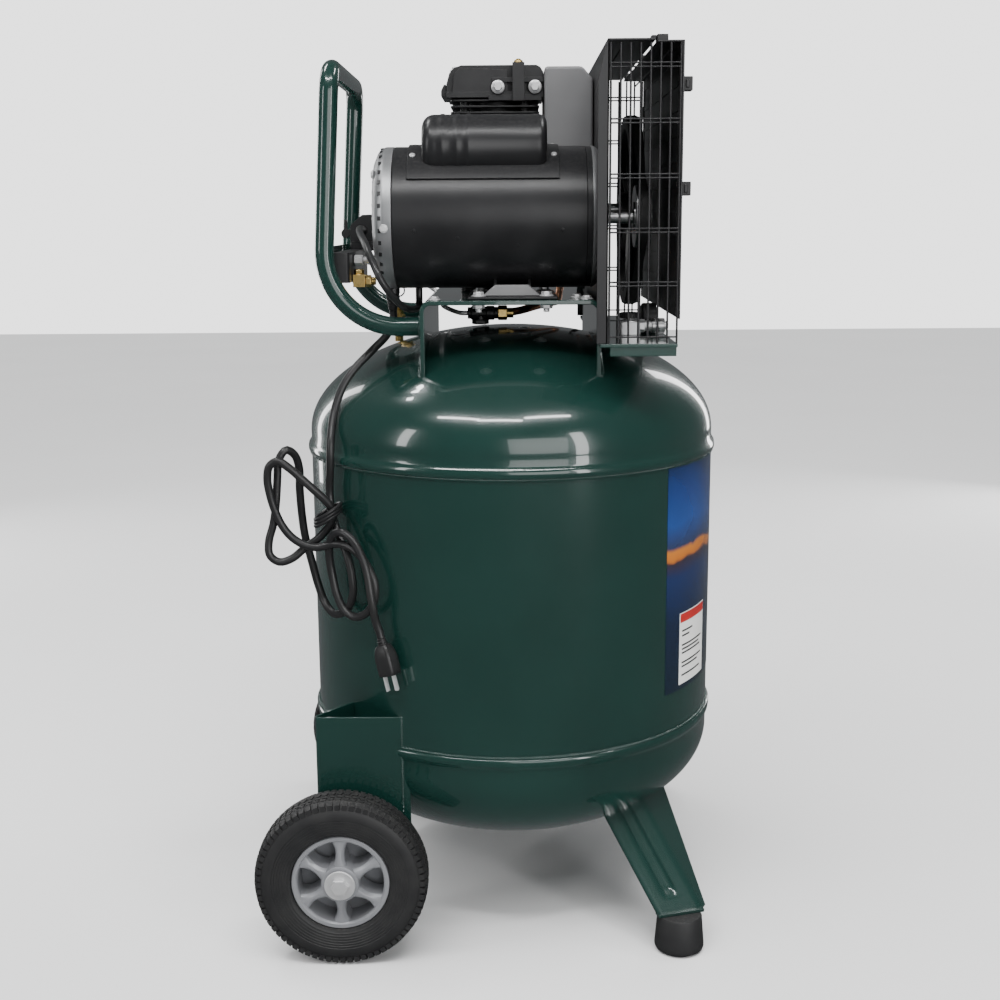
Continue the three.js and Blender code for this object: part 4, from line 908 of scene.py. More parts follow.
def spoke(side):
    """One spoke standing straight up from the boss, narrow in the middle, with a raised back."""
    half, mid = TYRE_WIDTH / 2, side * TYRE_MID
    levels = [(18, 9.5, half - 4.5), (24, 6.8, half - 4.8), (30, 5.2, half - 6.2), (36, 5.0, half - 7.6),
              (42, 6.0, half - 8.8), (47, 8.2, half - 9.4), (52, 11.5, half - 9.6)]
    rings = []
    for r, wide, face in levels:
        ring = [(-wide, -12), (-wide, face - 4.5), (-wide + 2.6, face - 1), (-1.5, face), (1.5, face),
                (wide - 2.6, face - 1), (wide, face - 4.5), (wide, -12)]
        rings.append([(WHEEL_X + x, mid + side * y, WHEEL_R + r) for x, y in ring])
    return Stock().lofted(rings)


for name, side in (("near", -1), ("far", 1)):
    centre = (WHEEL_X, side * TYRE_MID, WHEEL_R)
    piece(tyre(side), f"tyre_{name}_moulded", TYRE_RUBBER, f"wheel_{name}", f"tyre_{name}", sharp=38)
    repeated(tread_block(side), f"tyre_{name}_tread", TYRE_RUBBER, TREAD_BLOCKS,
             turn=(0, 360 / TREAD_BLOCKS, 0), centre=centre,
             body=f"wheel_{name}", sharp=30)
    repeated(spoke(side), f"wheel_rim_{name}", WHEEL_GREY, 6, turn=(0, 60, 0), centre=centre,
             body=f"wheel_{name}", stands_for=f"wheel_hub_{name}", bevel=0.5, sharp=36, also=rim(side))
    out = TYRE_IN + TYRE_WIDTH - 2.7
    bolt = Stock().turned([(r, side * y) for r, y in (
        (0, 202.5), (12, 202.5), (13, 203.5), (13, 215.6), (8, 215.6), (8, 219.3), (13, 219.3),
        (13, TYRE_IN + 0.6), (8, TYRE_IN + 0.6), (8, out), (17.2, out), (18, out + 0.6), (18, out + 1.9),
        (17.2, out + 2.5), (11.2, out + 2.5), (0, out + 2.5))], "y", (WHEEL_X, 0, WHEEL_R), 48)
    bolt.turned([(r, side * y) for r, y in (
        (0, out + 2), (10.8, out + 2), (10.8, out + 7.4), (9.8, out + 8.6), (0, out + 8.9))],
                "y", (WHEEL_X, 0, WHEEL_R), 6)
    piece(bolt, f"axle_bolt_{name}_turned", ZINC, stands_for=f"axle_bolt_{name}", bevel=0.3)
print("two wheels with", TREAD_BLOCKS * 6, "tread blocks each")

# %% [markdown]
# The saddle is one folded plate that stands on the tank's crown and carries motor and pump. Its legs run
# down into the head, where they are welded. A flat shelf beside it carries the belt guard and outlet.

# %% Saddle and shelf
SADDLE_X, SADDLE_Y, SADDLE_TOP, SHELF_TOP = 104, 170, 768, 723
SHELF_HALF, SHELF_WALL, SHELF_LIP = 228, 4, 2.5
saddle = Stock().pressed(folded([(SADDLE_X, 674), (SADDLE_X, SADDLE_TOP), (-SADDLE_X, SADDLE_TOP),
                                 (-SADDLE_X, 674)], 5, 12, 8), -SADDLE_Y, SADDLE_Y, "y")
saddle.block(99, 185, -SHELF_HALF, SHELF_HALF, SHELF_TOP - SHELF_WALL, SHELF_TOP)
for y in (2 - SHELF_HALF, SHELF_HALF - 2 - SHELF_LIP):
    saddle.block(110, 184, y, y + SHELF_LIP, SHELF_TOP - 14, SHELF_TOP - 2)
piece(saddle, "saddle_folded", ENAMEL, stands_for="saddle_plate", bevel=0.8, sharp=34)
welds = []
for x in (-SADDLE_X - 1, SADDLE_X + 1):
    welds.append([(x, y, dome_height(x, y) + 0.5) for y in range(-168, 170, 3)])
weld("saddle_weld", welds, 2.6, 3.0, 0.3, seed=8)

# %% [markdown]
# The push handle is one bent tube, ending square against the saddle. Its path is straight runs with
# true bend radii, as a tube bender makes them. The cross plate between its sides keeps its CAD shape.

# %% Push handle
HANDLE_Y, HANDLE_R, HANDLE_FOOT_X, HANDLE_HEAD_X = 138, 11, -220, -203
HANDLE_LOW, HANDLE_HIGH = 737, 1029
bends = rounded_corners([
    (-SADDLE_X - 0.3, -HANDLE_Y, HANDLE_LOW), (HANDLE_FOOT_X, -HANDLE_Y, HANDLE_LOW),
    (HANDLE_HEAD_X, -HANDLE_Y, HANDLE_HIGH), (HANDLE_HEAD_X, HANDLE_Y, HANDLE_HIGH),
    (HANDLE_FOOT_X, HANDLE_Y, HANDLE_LOW), (-SADDLE_X - 0.3, HANDLE_Y, HANDLE_LOW)], [85, 30, 30, 85], 20)
piece(Stock().bar(bends, HANDLE_R, 32), "push_handle", ENAMEL, stands_for="handle_tube", sharp=60)
weld("handle_weld", [[(-SADDLE_X - 1.5, s * HANDLE_Y + 11.5 * cos(a), HANDLE_LOW + 11.5 * sin(a))
                      for a in [2 * pi * k / 24 for k in range(25)]] for s in (-1, 1)], 1.8, 2.4, 0.3, seed=9)

# %% [markdown]
# Behind the handle sit the pressure switch and its brass and zinc fittings. Fittings are hexagons, collars
# and threads on a common line, each laid on by its own call.

# %% Screws, fittings and the pressure switch
SWITCH_SEAT = 832


def threaded(stock, r, a, b, axis, centre, pitch=1.4, steps=20):
    """A thread drawn as close rings, from a to b."""
    turns = max(2, int(abs(b - a) / pitch))
    outline = [(0, a)]
    for k in range(turns):
        z = a + (b - a) * k / turns
        step = (b - a) / turns
        outline += [(r * 0.9, z), (r, z + step * 0.5)]
    outline += [(r * 0.9, b), (0, b)]
    return stock.turned(outline, axis, centre, steps)


def hex_bolt(stock, x, y, z, r=6.5, height=5.0, washer=8.5, axis="z", up=1):
    """A hexagon head with a flange washer, its seat at the given point."""
    origin = (x, y, z)
    stock.turned([(0, 0), (washer, 0), (washer, up * 1.0), (washer * 0.82, up * 1.9), (0, up * 1.9)],
                 axis, origin, 28)
    stock.turned([(0, up * 1.2), (r, up * 1.2), (r, up * (height - 0.8)), (r * 0.86, up * height),
                  (0, up * height)], axis, origin, 6)
    return stock


box_stock = Stock()
half_y = HANDLE_Y - HANDLE_R - 2.8
base = rounded_box(10, (92 + half_y) / 2, 4)
mid_y = (92 - half_y) / 2
box_stock.pressed([(x - 198, y + mid_y) for x, y in base], 787, 822)
box_stock.pressed([(x - 189, y + 87.5) for x, y in rounded_box(17, 35.5, 3)], 820, SWITCH_SEAT)
for y in (-112, -60, -10, 40):
    box_stock.rod(5.0, -211.5, -207, "x", (0, y, 806), 20)
piece(box_stock, "control_block", BLACK_PLASTIC, stands_for="control_manifold", bevel=1.2)
cap = Stock()
profile = [(-206, 832.3), (-172, 832.3), (-172, 862), (-174, 865.6), (-190, 865.6), (-204.6, 853.4),
           (-206, 850)]
cap.pressed(profile, 52.5, 122.7, "y")
for k in range(5):
    cap.block(-185 + k * 2.6, -183.6 + k * 2.6, 60, 115, 865, 865.9)
piece(cap, "switch_cover", BLACK_PLASTIC, stands_for="pressure_switch_cover", bevel=1.4)
lever = Stock().rod(6, 66.2, 71.8, "y", (-213, 0, 842), 28)
lever.pressed([(-215, 842), (-211, 842), (-210.9, 857), (-211.8, 859.6), (-214.2, 859.6), (-215.1, 857)],
              66.4, 71.6, "y")
piece(lever, "switch_toggle", BLACK_PLASTIC, "switch_lever", "switch_lever", bevel=0.5)

fittings = Stock()
fittings.block(-186.8, -172.5, -102, -88, 781, 796)
fittings.hexagon(7.4, -172.5, -165, "x", (0, -95, 788))
threaded(fittings, 5, -165, -160, "x", (0, -95, 788))
fittings.hexagon(6.2, 796, 802, "z", (-180, -95, 0))
piece(fittings, "brass_elbow", BRASS, bevel=0.5)
silver = Stock()
silver.hexagon(6.5, -187, -176, "x", (0, -80, 812))
silver.rod(4.2, -176, -166, "x", (0, -80, 812))
silver.rod(5.6, -171, -168, "x", (0, -80, 812))
piece(silver, "zinc_fitting", ZINC, bevel=0.4)

# %% [markdown]
# They follow the CAD's route.

# %% Pipes, check valve and safety valve
TANK_TOP = TANGENT_HIGH + HEAD_DEPTH
DECK_Z, CRANK_Z, PUMP_X, PUMP_Y = 1008, 868, -18, 90
PORT_Z = DECK_Z + 26
discharge = [(-15, 0, 743), (-8, 0, 743), (10, 6, 745), (34, 40, 749), (56, 110, 749), (66, 160, 750),
             (70, 192, 762), (66, 206, 800), (40, 208, 900), (10, 206, PORT_Z - 44), (-6, 198, PORT_Z - 10),
             (-14, 178, PORT_Z), (PUMP_X, 158, PORT_Z), (PUMP_X, 148.3, PORT_Z)]
pipe = Stock().bar(smooth_path(discharge, 5), 5, 20)
piece(pipe, "discharge_pipe", COPPER, stands_for="discharge_tube", sharp=60)
nuts = Stock()
nuts.hexagon(9.5, -16, -4, "x", (0, 0, 743)).hexagon(9.5, 149, 160, "y", (PUMP_X, 0, PORT_Z))
nuts.rod(6.4, -5, 4, "x", (0, 0, 743)).rod(6.4, 159, 166, "y", (PUMP_X, 0, PORT_Z))
piece(nuts, "pipe_nuts", BRASS, bevel=0.6)
unloader = [(-54.3, 0, 743), (-62, 0, 743), (-84, 40, 748), (-90, 100, 750), (-90, 160, 750),
            (-96, 184, 756), (-116, 190, 770), (-144, 178, 794), (-168, 158, 818), (-182, 142, 828),
            (-184, 131.5, 828), (-184, 123.5, 828)]
piece(Stock().bar(smooth_path(unloader, 5), 3, 16), "unloader_pipe", ZINC, stands_for="unloader_tube",
      sharp=60)
check = Stock()
check.hexagon(11, TANK_TOP + 1, TANK_TOP + 7, "z", (-38, 0, 0))
check.turned([(0, -54), (7.4, -54), (7.4, -50), (9, -49), (9, -40), (8, -39), (8, -31), (9, -30), (9, -21),
              (7.6, -20), (7.6, -16), (0, -16)], "x", (0, 0, 743), 32)
check.rod(7, TANK_TOP + 5, 743, "z", (-38, 0, 0))
piece(check, "check_valve_body", BLACK_SHEET, stands_for="check_valve", bevel=0.4)

sx, sy = -146, 62
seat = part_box("safety_valve_body")[0].z / MM
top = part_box("safety_valve_body")[1].z / MM
valve = Stock()
threaded(valve, 5.8, seat, seat + 12, "z", (sx, sy, 0))
valve.rod(5.2, seat + 10, top - 14, centre=(sx, sy, 0))
valve.hexagon(8.8, top - 24, top - 14, centre=(sx, sy, 0))
valve.turned([(0, top - 15), (6.6, top - 15), (6.6, top - 8), (5.4, top - 7), (6.6, top - 6),
              (6.6, top - 1.2), (5.4, top - 0.1), (0, top - 0.1)], "z", (sx, sy, 0), 32)
piece(valve, "safety_valve_turned", BRASS, stands_for="safety_valve_body", bevel=0.3)
pull = Stock().rod(1.9, top + 0.4, top + 9, centre=(sx, sy, 0), steps=16)
ring = [(sx + 7.9 * cos(a), sy, top + 17 + 7.9 * sin(a)) for a in [2 * pi * k / 40 for k in range(40)]]
pull.bar(ring, 1.05, 10, loop=True)
piece(pull, "safety_pull_ring", STEEL, "safety_ring", "safety_valve_ring", sharp=50)

# %% [markdown]
# The outlet on the shelf is a regulator with a knurled knob, a pressure gauge and a quick coupler whose
# sleeve slides back. The knob's ribs and the gauge's marks are both copies round an axis.

# %% Regulator, gauge and coupler
OUT_X, OUT_Y, OUT_Z = 142, -100, SHELF_TOP + 0.3
COUPLER_Z = OUT_Z + 10
outlet_axis = (0, OUT_Y, COUPLER_Z)
body = Stock()
body.pressed([(x + OUT_X, y + OUT_Y) for x, y in rounded_box(12, 12, 3)], OUT_Z, OUT_Z + 15)
body.rod(10, OUT_Z + 14, OUT_Z + 17, centre=(OUT_X, OUT_Y, 0))
threaded(body, 5, OUT_Z + 16, OUT_Z + 19, "z", (OUT_X, OUT_Y, 0))
body.hexagon(8, OUT_X + 11, OUT_X + 18, "x", outlet_axis)
nipple = [(0, 17), (6, 17), (6, 40), (5, 41), (5, 43), (5.9, 44.2), (4.6, 46), (3, 46), (3, 38), (0, 38)]
body.turned([(r, OUT_X + x) for r, x in nipple], "x", outlet_axis, 32)
piece(body, "regulator_cast", ZINC, stands_for="regulator_body", bevel=0.5)
knob_low, knob_high = (v.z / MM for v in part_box("regulator_knob"))
knob = Stock().turned([(0, knob_low), (11.4, knob_low), (12.2, knob_low + 0.8), (12.2, knob_high - 1.2),
                       (11, knob_high), (4, knob_high), (3, knob_high - 0.8), (0, knob_high - 0.8)],
                      "z", (OUT_X, OUT_Y, 0), 48)
rib = Stock().block(OUT_X + 11.6, OUT_X + 12.9, OUT_Y - 0.5, OUT_Y + 0.5, knob_low + 0.6, knob_high - 1)
repeated(rib, "knob_ribbed", BLACK_PLASTIC, 30, turn=(0, 0, 12), centre=(OUT_X, OUT_Y, 0),
         body="regulator_knob", stands_for="regulator_knob", bevel=0.2, also=knob)
rings = [(6.5, 26.1), (8.2, 26.1), (8.9, 27), (8.9, 30), (8.1, 31), (8.1, 33), (8.9, 34), (8.9, 41),
         (8.2, 41.9), (6.5, 41.9)]
sleeve = Stock().turned([(r, OUT_X + x) for r, x in rings], "x", outlet_axis, 48)
grip = Stock().block(OUT_X + 34.6, OUT_X + 40.4, OUT_Y - 0.35, OUT_Y + 0.35, COUPLER_Z + 8.5, COUPLER_Z + 9.0)
repeated(grip, "coupler_knurled", STEEL, 32, turn=(11.25, 0, 0), centre=outlet_axis,
         body="coupler_sleeve", stands_for="coupler_sleeve", also=sleeve)
GAUGE = (0, -50, OUT_Z + 17)
case = Stock().turned([(0, 160), (15, 160), (17, 162), (17, 177), (16.2, 178), (15, 178), (15, 172.2),
                       (0, 172.2)], "x", GAUGE, 64)
case.block(162, 170, -53, -47, OUT_Z, OUT_Z + 2)
piece(case, "gauge_case", BLACK_PLASTIC, stands_for="gauge_body", bevel=0.3)
dial = Stock().turned([(0, 172.3), (14.6, 172.3), (14.6, 172.7), (0, 172.7)], "x", GAUGE, 48)
piece(dial, "gauge_dial", LABEL_WHITE)
mark = Stock().block(172.6, 172.9, -50.35, -49.65, GAUGE[2] + 11, GAUGE[2] + 14)
repeated(mark, "gauge_marks", BLACK_PLASTIC, 19, turn=(-15, 0, 0), centre=GAUGE)
needle = Stock().rod(2, 173, 176, "x", GAUGE, 20)
needle.pressed([(-50.8, GAUGE[2] - 3), (-49.2, GAUGE[2] - 3), (-49.7, GAUGE[2] + 12.8),
                (-50.3, GAUGE[2] + 12.8)], 174, 174.8, "x")
piece(needle, "gauge_pointer", RED, "gauge_needle", "gauge_needle")
print("controls made")

# %% [markdown]
# The motor is a rolled steel shell between two cast end bells, painted black but for the bare rear
# bell, whose slots let air in. Turned outlines make the round parts, and the slots' bars are copies.

# %% Motor shell and bells
MOTOR_AXIS = (0, MOTOR_Y, MOTOR_Z)
MOTOR_BACK, MOTOR_FRONT = -135, 95
shell = Stock().turned([
    (MOTOR_R - 3, MOTOR_BACK), (MOTOR_R - 0.8, MOTOR_BACK), (MOTOR_R, MOTOR_BACK + 0.8),
    (MOTOR_R, MOTOR_FRONT - 7),
    (MOTOR_R - 0.8, MOTOR_FRONT - 6), (MOTOR_R - 0.8, MOTOR_FRONT), (MOTOR_R - 3, MOTOR_FRONT)],
    "x", MOTOR_AXIS, 128)


def on_motor(angle, x, r=MOTOR_R):
    """A spot on the motor's shell; the angle is from straight up toward the near side."""
    a = radians(angle)
    return Vector((x, MOTOR_Y - r * sin(a), MOTOR_Z + r * cos(a)))


for x, angle in ((-60, 106), (8, 112), (60, 100), (-110, 100)):
    spot, a = on_motor(angle, x), radians(angle)
    place = Matrix.Translation(spot) @ Matrix.Rotation(a, 4, "X")
    shell.turned([(0, -0.5), (2.6, -0.5), (2.4, 0.25), (1.2, 0.5), (0, 0.5)], steps=16, place=place)
piece(shell, "motor_shell_rolled", MOTOR_PAINT, stands_for="motor_shell", sharp=34)

BELL_BACK = MOTOR_BACK - 25
bell = Stock().turned([
    (8.4, BELL_BACK + 5), (12, BELL_BACK), (24, BELL_BACK), (26, BELL_BACK + 4), (58, BELL_BACK + 5),
    (61, BELL_BACK + 1.5), (66, BELL_BACK + 1.5), (76, BELL_BACK + 6), (80, BELL_BACK + 9.5),
    (MOTOR_R - 0.4, BELL_BACK + 14), (MOTOR_R, BELL_BACK + 16), (MOTOR_R, MOTOR_BACK - 0.5),
    (70, MOTOR_BACK - 0.5), (64, MOTOR_BACK - 6), (22, MOTOR_BACK - 10), (20, MOTOR_BACK - 0.5),
    (8.4, MOTOR_BACK - 0.5)], "x", MOTOR_AXIS, 128)
fin = Stock().block(BELL_BACK + 0.4, BELL_BACK + 8, MOTOR_Y - 1.6, MOTOR_Y + 1.6, MOTOR_Z + 26, MOTOR_Z + 60)
repeated(fin, "rear_bell", CAST_SILVER, 24, turn=(15, 0, 0), centre=MOTOR_AXIS,
         stands_for="motor_rear_bell", bevel=0.5, also=bell)
# The bell's slots are drawn as thin black patches on its face and rim: painted shade for the dark inside of
# the bell seen through the openings.
slots = Stock()
for k in range(24):
    a = radians(7.5 + 15 * k)
    place = Matrix.Translation(MOTOR_AXIS) @ Matrix.Rotation(a, 4, "X")
    slots.pressed([(u, v + 45) for u, v in rounded_box(2.5, 10, 2.4)],
                  BELL_BACK + 4.6, BELL_BACK + 5.4, "x", place)
for k in range(36):
    a = radians(10 * k)
    place = Matrix.Translation(MOTOR_AXIS) @ Matrix.Rotation(a, 4, "X")
    slots.block(BELL_BACK + 9, BELL_BACK + 13.4, -2.4, 2.4, MOTOR_R - 4, MOTOR_R - 1.1, place)
piece(slots, "rear_bell_slots", BLACK_PLASTIC)
front_bell = Stock().turned([(8.4, MOTOR_FRONT + 0.3), (MOTOR_R, MOTOR_FRONT + 0.3),
                             (MOTOR_R, MOTOR_FRONT + 2), (MOTOR_R - 1.6, MOTOR_FRONT + 5),
                             (MOTOR_R - 5, MOTOR_FRONT + 8.8),
                             (8.4, MOTOR_FRONT + 8.8)], "x", MOTOR_AXIS, 96)
piece(front_bell, "front_bell_cast", CAST_SILVER, stands_for="motor_front_bell", sharp=40)
through = Stock()
for angle in (45, 135, 225, 315):
    spot = on_motor(angle, 0, 70)
    hex_bolt(through, BELL_BACK + 3.2, spot.y, spot.z, 4.2, 3.2, 5.5, "x", -1)
hex_bolt(through, BELL_BACK + 16, on_motor(98, 0).y + 0.4, on_motor(98, 0).z, 3.8, 2.6, 5, "y", -1)
piece(through, "motor_through_bolts", ZINC, bevel=0.25)

# %% [markdown]
# The capacitor sits in a half-round cover on the motor's shoulder. Its outline is turned, its raised ribs
# and rounded end are part of the same outline, and a curved flange with screws holds it down.

# %% Capacitor cover
COVER = (0, -108, 941)
COVER_R, COVER_BACK, COVER_FRONT = 38, -101, 43


def cover_ribs(x0, x1):
    """Outline over the cover's length with three raised ribs on its left half."""
    line = [(COVER_R - 0.9, x0)]
    for x in (-77, -60, -47):
        line += [(COVER_R - 0.9, x - 3.4), (COVER_R - 0.1, x - 1.6), (COVER_R - 0.1, x + 1.6),
                 (COVER_R - 0.9, x + 3.4)]
    return line + [(COVER_R - 0.9, x1)]


ends = [(cos(a), sin(a)) for a in [pi / 2 * k / 8 for k in range(9)]]
outline = [(0, COVER_BACK)]
outline += [(COVER_R - 14.9 + 14 * s, COVER_BACK + 14 - 14 * c) for c, s in ends][1:]
outline += cover_ribs(COVER_BACK + 16, COVER_FRONT - 12)
outline += [(COVER_R - 10.9 + 10 * c, COVER_FRONT - 10 + 10 * s) for c, s in ends][1:] + [(0, COVER_FRONT)]
cover = Stock().turned(outline, "x", COVER, 96)
lean = degrees(atan2(MOTOR_Y - COVER[1], COVER[2] - MOTOR_Z))
arc = [lean - 35.4 + 73 * k / 28 for k in range(29)]
flange = [on_motor(a, 0, MOTOR_R + 0.7) for a in arc] + [on_motor(a, 0, MOTOR_R + 2.5) for a in arc[::-1]]
cover.pressed([(p.y, p.z) for p in flange], COVER_BACK - 16.8, COVER_FRONT + 13.8, "x")
piece(cover, "capacitor_cover_drawn", MOTOR_PAINT, stands_for="capacitor_cover", bevel=0.5, sharp=40)
screws = Stock()
for x in (COVER_BACK - 11, COVER_FRONT + 8):
    for angle in (lean + 12, lean - 30):
        place = (Matrix.Translation(on_motor(angle, x, MOTOR_R + 2.4))
                 @ Matrix.Rotation(radians(angle), 4, "X"))
        screws.turned([(0, -0.5), (3.6, -0.5), (3.6, 0.6), (2.6, 1.7), (0, 2.0)], steps=20, place=place)
piece(screws, "cover_screws", ZINC, bevel=0.2)

# %% [markdown]
# The motor stands on a welded steel cradle bolted through the saddle. Bolts, washers and the nuts under
# the plate are one shape each, laid out from the same list of hole places.

# %% Motor cradle and its bolts
DECK = SADDLE_TOP + 0.3
cradle = Stock().block(-49.6, 54.6, MOTOR_Y - 72.6, MOTOR_Y + 72.6, DECK, DECK + 3)
saddle_curve = [(-38 + 76 * k / 16, MOTOR_Z - sqrt((MOTOR_R + 0.5) ** 2 - (-38 + 76 * k / 16) ** 2))
                for k in range(17)]
side = [(MOTOR_Y - 59, DECK + 2), (MOTOR_Y + 59, DECK + 2), (MOTOR_Y + 40, DECK + 25)]
side += [(MOTOR_Y + u, min(w, DECK + 25)) for u, w in saddle_curve[::-1]] + [(MOTOR_Y - 40, DECK + 25)]
for x in (-19.6, 20.6):
    cradle.pressed(side, x, x + 4, "x")
cradle.block(-19, 24, MOTOR_Y - 57, MOTOR_Y - 40, DECK + 2, DECK + 8)
piece(cradle, "motor_cradle", MOTOR_PAINT, stands_for="motor_base", bevel=0.8, sharp=30)
# A raised rib on the black cradle, painted grey: a painted highlight for the lamps mirrored on its satin
# face.
bump = Stock()
low, high = DECK + 3, DECK + 16
bump.wedge([(-33, MOTOR_Y - 62, low), (36, MOTOR_Y - 62, low),
            (36, MOTOR_Y - 50, low), (-33, MOTOR_Y - 50, low),
            (-18, MOTOR_Y - 60, high), (21, MOTOR_Y - 60, high),
            (21, MOTOR_Y - 50, high), (-18, MOTOR_Y - 50, high)])
piece(bump, "cradle_rib_painted_sheen", PAINTED_SHEEN_GREY, bevel=1.6)
bolts = Stock()
for x, y in ((-37, MOTOR_Y - 62), (42, MOTOR_Y - 62), (-37, MOTOR_Y + 62), (42, MOTOR_Y + 62)):
    hex_bolt(bolts, x, y, DECK + 3, 6.2, 5.6, 8.5)
    hex_bolt(bolts, x, y, SADDLE_TOP - 5, 7.4, 6.0, 9.6, up=-1)
    bolts.rod(3.6, SADDLE_TOP - 15, SADDLE_TOP - 9, centre=(x, y, 0), steps=16)
for x, y in ((-57, 34), (21, 34), (-57, 146), (21, 146)):
    hex_bolt(bolts, x, y, DECK + 10, 6.2, 5.6, 8.5)
    hex_bolt(bolts, x, y, SADDLE_TOP - 5, 7.4, 6.0, 9.6, up=-1)
for x, y in ((-88, -152), (88, -152), (78, -120)):
    hex_bolt(bolts, x, y, SADDLE_TOP, 5.4, 4.6, 7.5)
piece(bolts, "deck_bolts", ZINC, bevel=0.4)
lead = [(-188, 51.7, 846), (-187, 20, 848), (-184, -40, 848), (-177, -92, 842), (-168, -132, 832),
        (-158, -160, 814), (-148, -172, 794), (-137, -166, 776), (-124, -142, 760), (-114, -108, 755),
        (-110, -84, 758), (-110, MOTOR_Y, 768), (-110, MOTOR_Y, 778.2)]
piece(Stock().bar(smooth_path(lead, 5), CORD_R - 0.6, 16), "motor_lead_jacket", CORD_SKIN,
      stands_for="motor_lead", sharp=70)
print("motor made")

# %% [markdown]
# The pump is a cast crankcase, a finned cylinder and a finned head. Fins are one plate copied up the
# cylinder by the row tree; the crankcase and head are built from blocks with broken edges, as cast parts are.

# %% Pump: crankcase and cylinder
CASE_TOP, HEAD_TOP, BORE_R, STUD_REACH = 905, 1048, 30, 38
case = Stock()
case.pressed([(x + PUMP_X, y + PUMP_Y) for x, y in rounded_box(45.6, 61.6, 10)], DECK, DECK + 10)
for z0, z1, hx, hy, r in ((DECK + 9, DECK + 26, 38.5, 43, 10), (DECK + 26, CASE_TOP - 14, 39.8, 43.8, 12),
                          (CASE_TOP - 14, CASE_TOP - 0.2, 36, 40, 10)):
    case.pressed([(x + PUMP_X, y + PUMP_Y) for x, y in rounded_box(hx, hy, r)], z0, z1)
for y in (-30, -15, 0, 15, 30):
    case.block(PUMP_X - 39.9, PUMP_X + 39.9, PUMP_Y + y - 1.6, PUMP_Y + y + 1.6, DECK + 12, CRANK_Z - 40)
case.rod(23.8, PUMP_X + 36, PUMP_X + 61.8, "x", (0, PUMP_Y, CRANK_Z), 56, 1.5, 10.6)
case.rod(33, PUMP_X + 36, PUMP_X + 44, "x", (0, PUMP_Y, CRANK_Z), 56, 1.5, 10.6)
piece(case, "crankcase_cast", CAST_BLACK, stands_for="crankcase", bevel=1.0, sharp=34)
FINS = 14
PITCH = (DECK_Z - CASE_TOP) / FINS
lowest = DECK_Z - 4.3 - (FINS - 1) * PITCH
fin = Stock().pressed([(x + PUMP_X, y + PUMP_Y) for x, y in rounded_box(55.8, 55.8, 9)], lowest, lowest + 2.4)
sleeve = Stock().rod(BORE_R + 7, CASE_TOP + 0.3, DECK_Z - 0.3, centre=(PUMP_X, PUMP_Y, 0), steps=64,
                     bore=BORE_R)
for along in (-1, 1):
    for across in (-1, 1):
        stud = (PUMP_X + STUD_REACH * along, PUMP_Y + STUD_REACH * across, 0)
        sleeve.rod(6, CASE_TOP + 0.3, DECK_Z - 0.3, centre=stud, steps=20)
repeated(fin, "cylinder_finned", CAST_BLACK, FINS, step=(0, 0, PITCH), stands_for="cylinder_barrel",
         bevel=0.4, also=sleeve)

# %% Pump: head, its bolts, intake and relief fitting
BACK, FRONT = PUMP_X - 61, PUMP_X + 61
head = Stock()
roof = [(BACK + 0.3, DECK_Z), (FRONT - 0.3, DECK_Z), (FRONT - 0.3, HEAD_TOP - 9), (FRONT - 4, HEAD_TOP - 3),
        (FRONT - 9, HEAD_TOP - 0.4), (BACK + 19, HEAD_TOP - 0.4), (BACK + 10, HEAD_TOP - 3.5),
        (BACK + 4, HEAD_TOP - 10), (BACK + 0.3, DECK_Z + 17)]
head.pressed(roof, PUMP_Y - 50, PUMP_Y + 57.6, "y")
head.block(BACK + 0.2, FRONT - 0.2, PUMP_Y - 57.8, PUMP_Y - 45, DECK_Z, DECK_Z + 7)
head.pressed([(BACK + 8, DECK_Z + 6), (-2, DECK_Z + 6), (-2, HEAD_TOP - 7), (BACK + 18, HEAD_TOP - 4),
              (BACK + 10, HEAD_TOP - 12)], PUMP_Y - 57.6, PUMP_Y - 48, "y")
head.block(4, 19, PUMP_Y - 69.4, PUMP_Y - 48, DECK_Z - 5, HEAD_TOP + 1)
head.block(-22, 43, PUMP_Y - 60, PUMP_Y - 48, DECK_Z + 18, DECK_Z + 24)
head.block(-26, 40, PUMP_Y - 61, PUMP_Y - 48, DECK_Z - 4, DECK_Z + 3)
for x in (-14, 32):
    head.rod(9, PUMP_Y - 62, PUMP_Y - 48, "y", (x, 0, DECK_Z + 12), 32)
for k in range(7):
    head.block(BACK + 20 + 14 * k, BACK + 22.6 + 14 * k, PUMP_Y - 44, PUMP_Y + 54,
               HEAD_TOP - 3, HEAD_TOP - 0.1)
piece(head, "cylinder_head_cast", CAST_BLACK, stands_for="cylinder_head", bevel=1.3, sharp=34)
bolts = Stock()
for x in (-14, 32):
    hex_bolt(bolts, x, PUMP_Y - 62, DECK_Z + 12, 5.6, 5.6, 8.4, "y", -1)
for x in (BACK + 12, FRONT - 12):
    for y in (PUMP_Y - 36, PUMP_Y + 46):
        hex_bolt(bolts, x, y, HEAD_TOP - 6.5, 5.2, 5.4, 7.6)
piece(bolts, "head_bolts", ZINC, bevel=0.4)
top = Stock().hexagon(5.6, HEAD_TOP + 0.5, HEAD_TOP + 4.2, centre=(11.5, PUMP_Y - 60, 0))
top.turned([(0, HEAD_TOP + 3), (3.4, HEAD_TOP + 3), (3.4, HEAD_TOP + 5), (2.2, HEAD_TOP + 5.9),
            (0, HEAD_TOP + 5.9)], centre=(11.5, PUMP_Y - 60, 0), steps=24)
piece(top, "relief_fitting", BRASS, bevel=0.3)
intake = Stock().pressed([(BACK - 0.4, DECK_Z + 2.2), (BACK - 0.4, DECK_Z + 16.8), (BACK - 3, DECK_Z + 16.8),
                          (BACK - 6.5, DECK_Z + 10), (BACK - 6.5, DECK_Z + 2.2)],
                         PUMP_Y - 45.7, PUMP_Y + 45.7, "y")
slat = Stock().block(BACK - 6.9, BACK - 6, PUMP_Y - 43, PUMP_Y - 40.6, DECK_Z + 3.4, DECK_Z + 9.4)
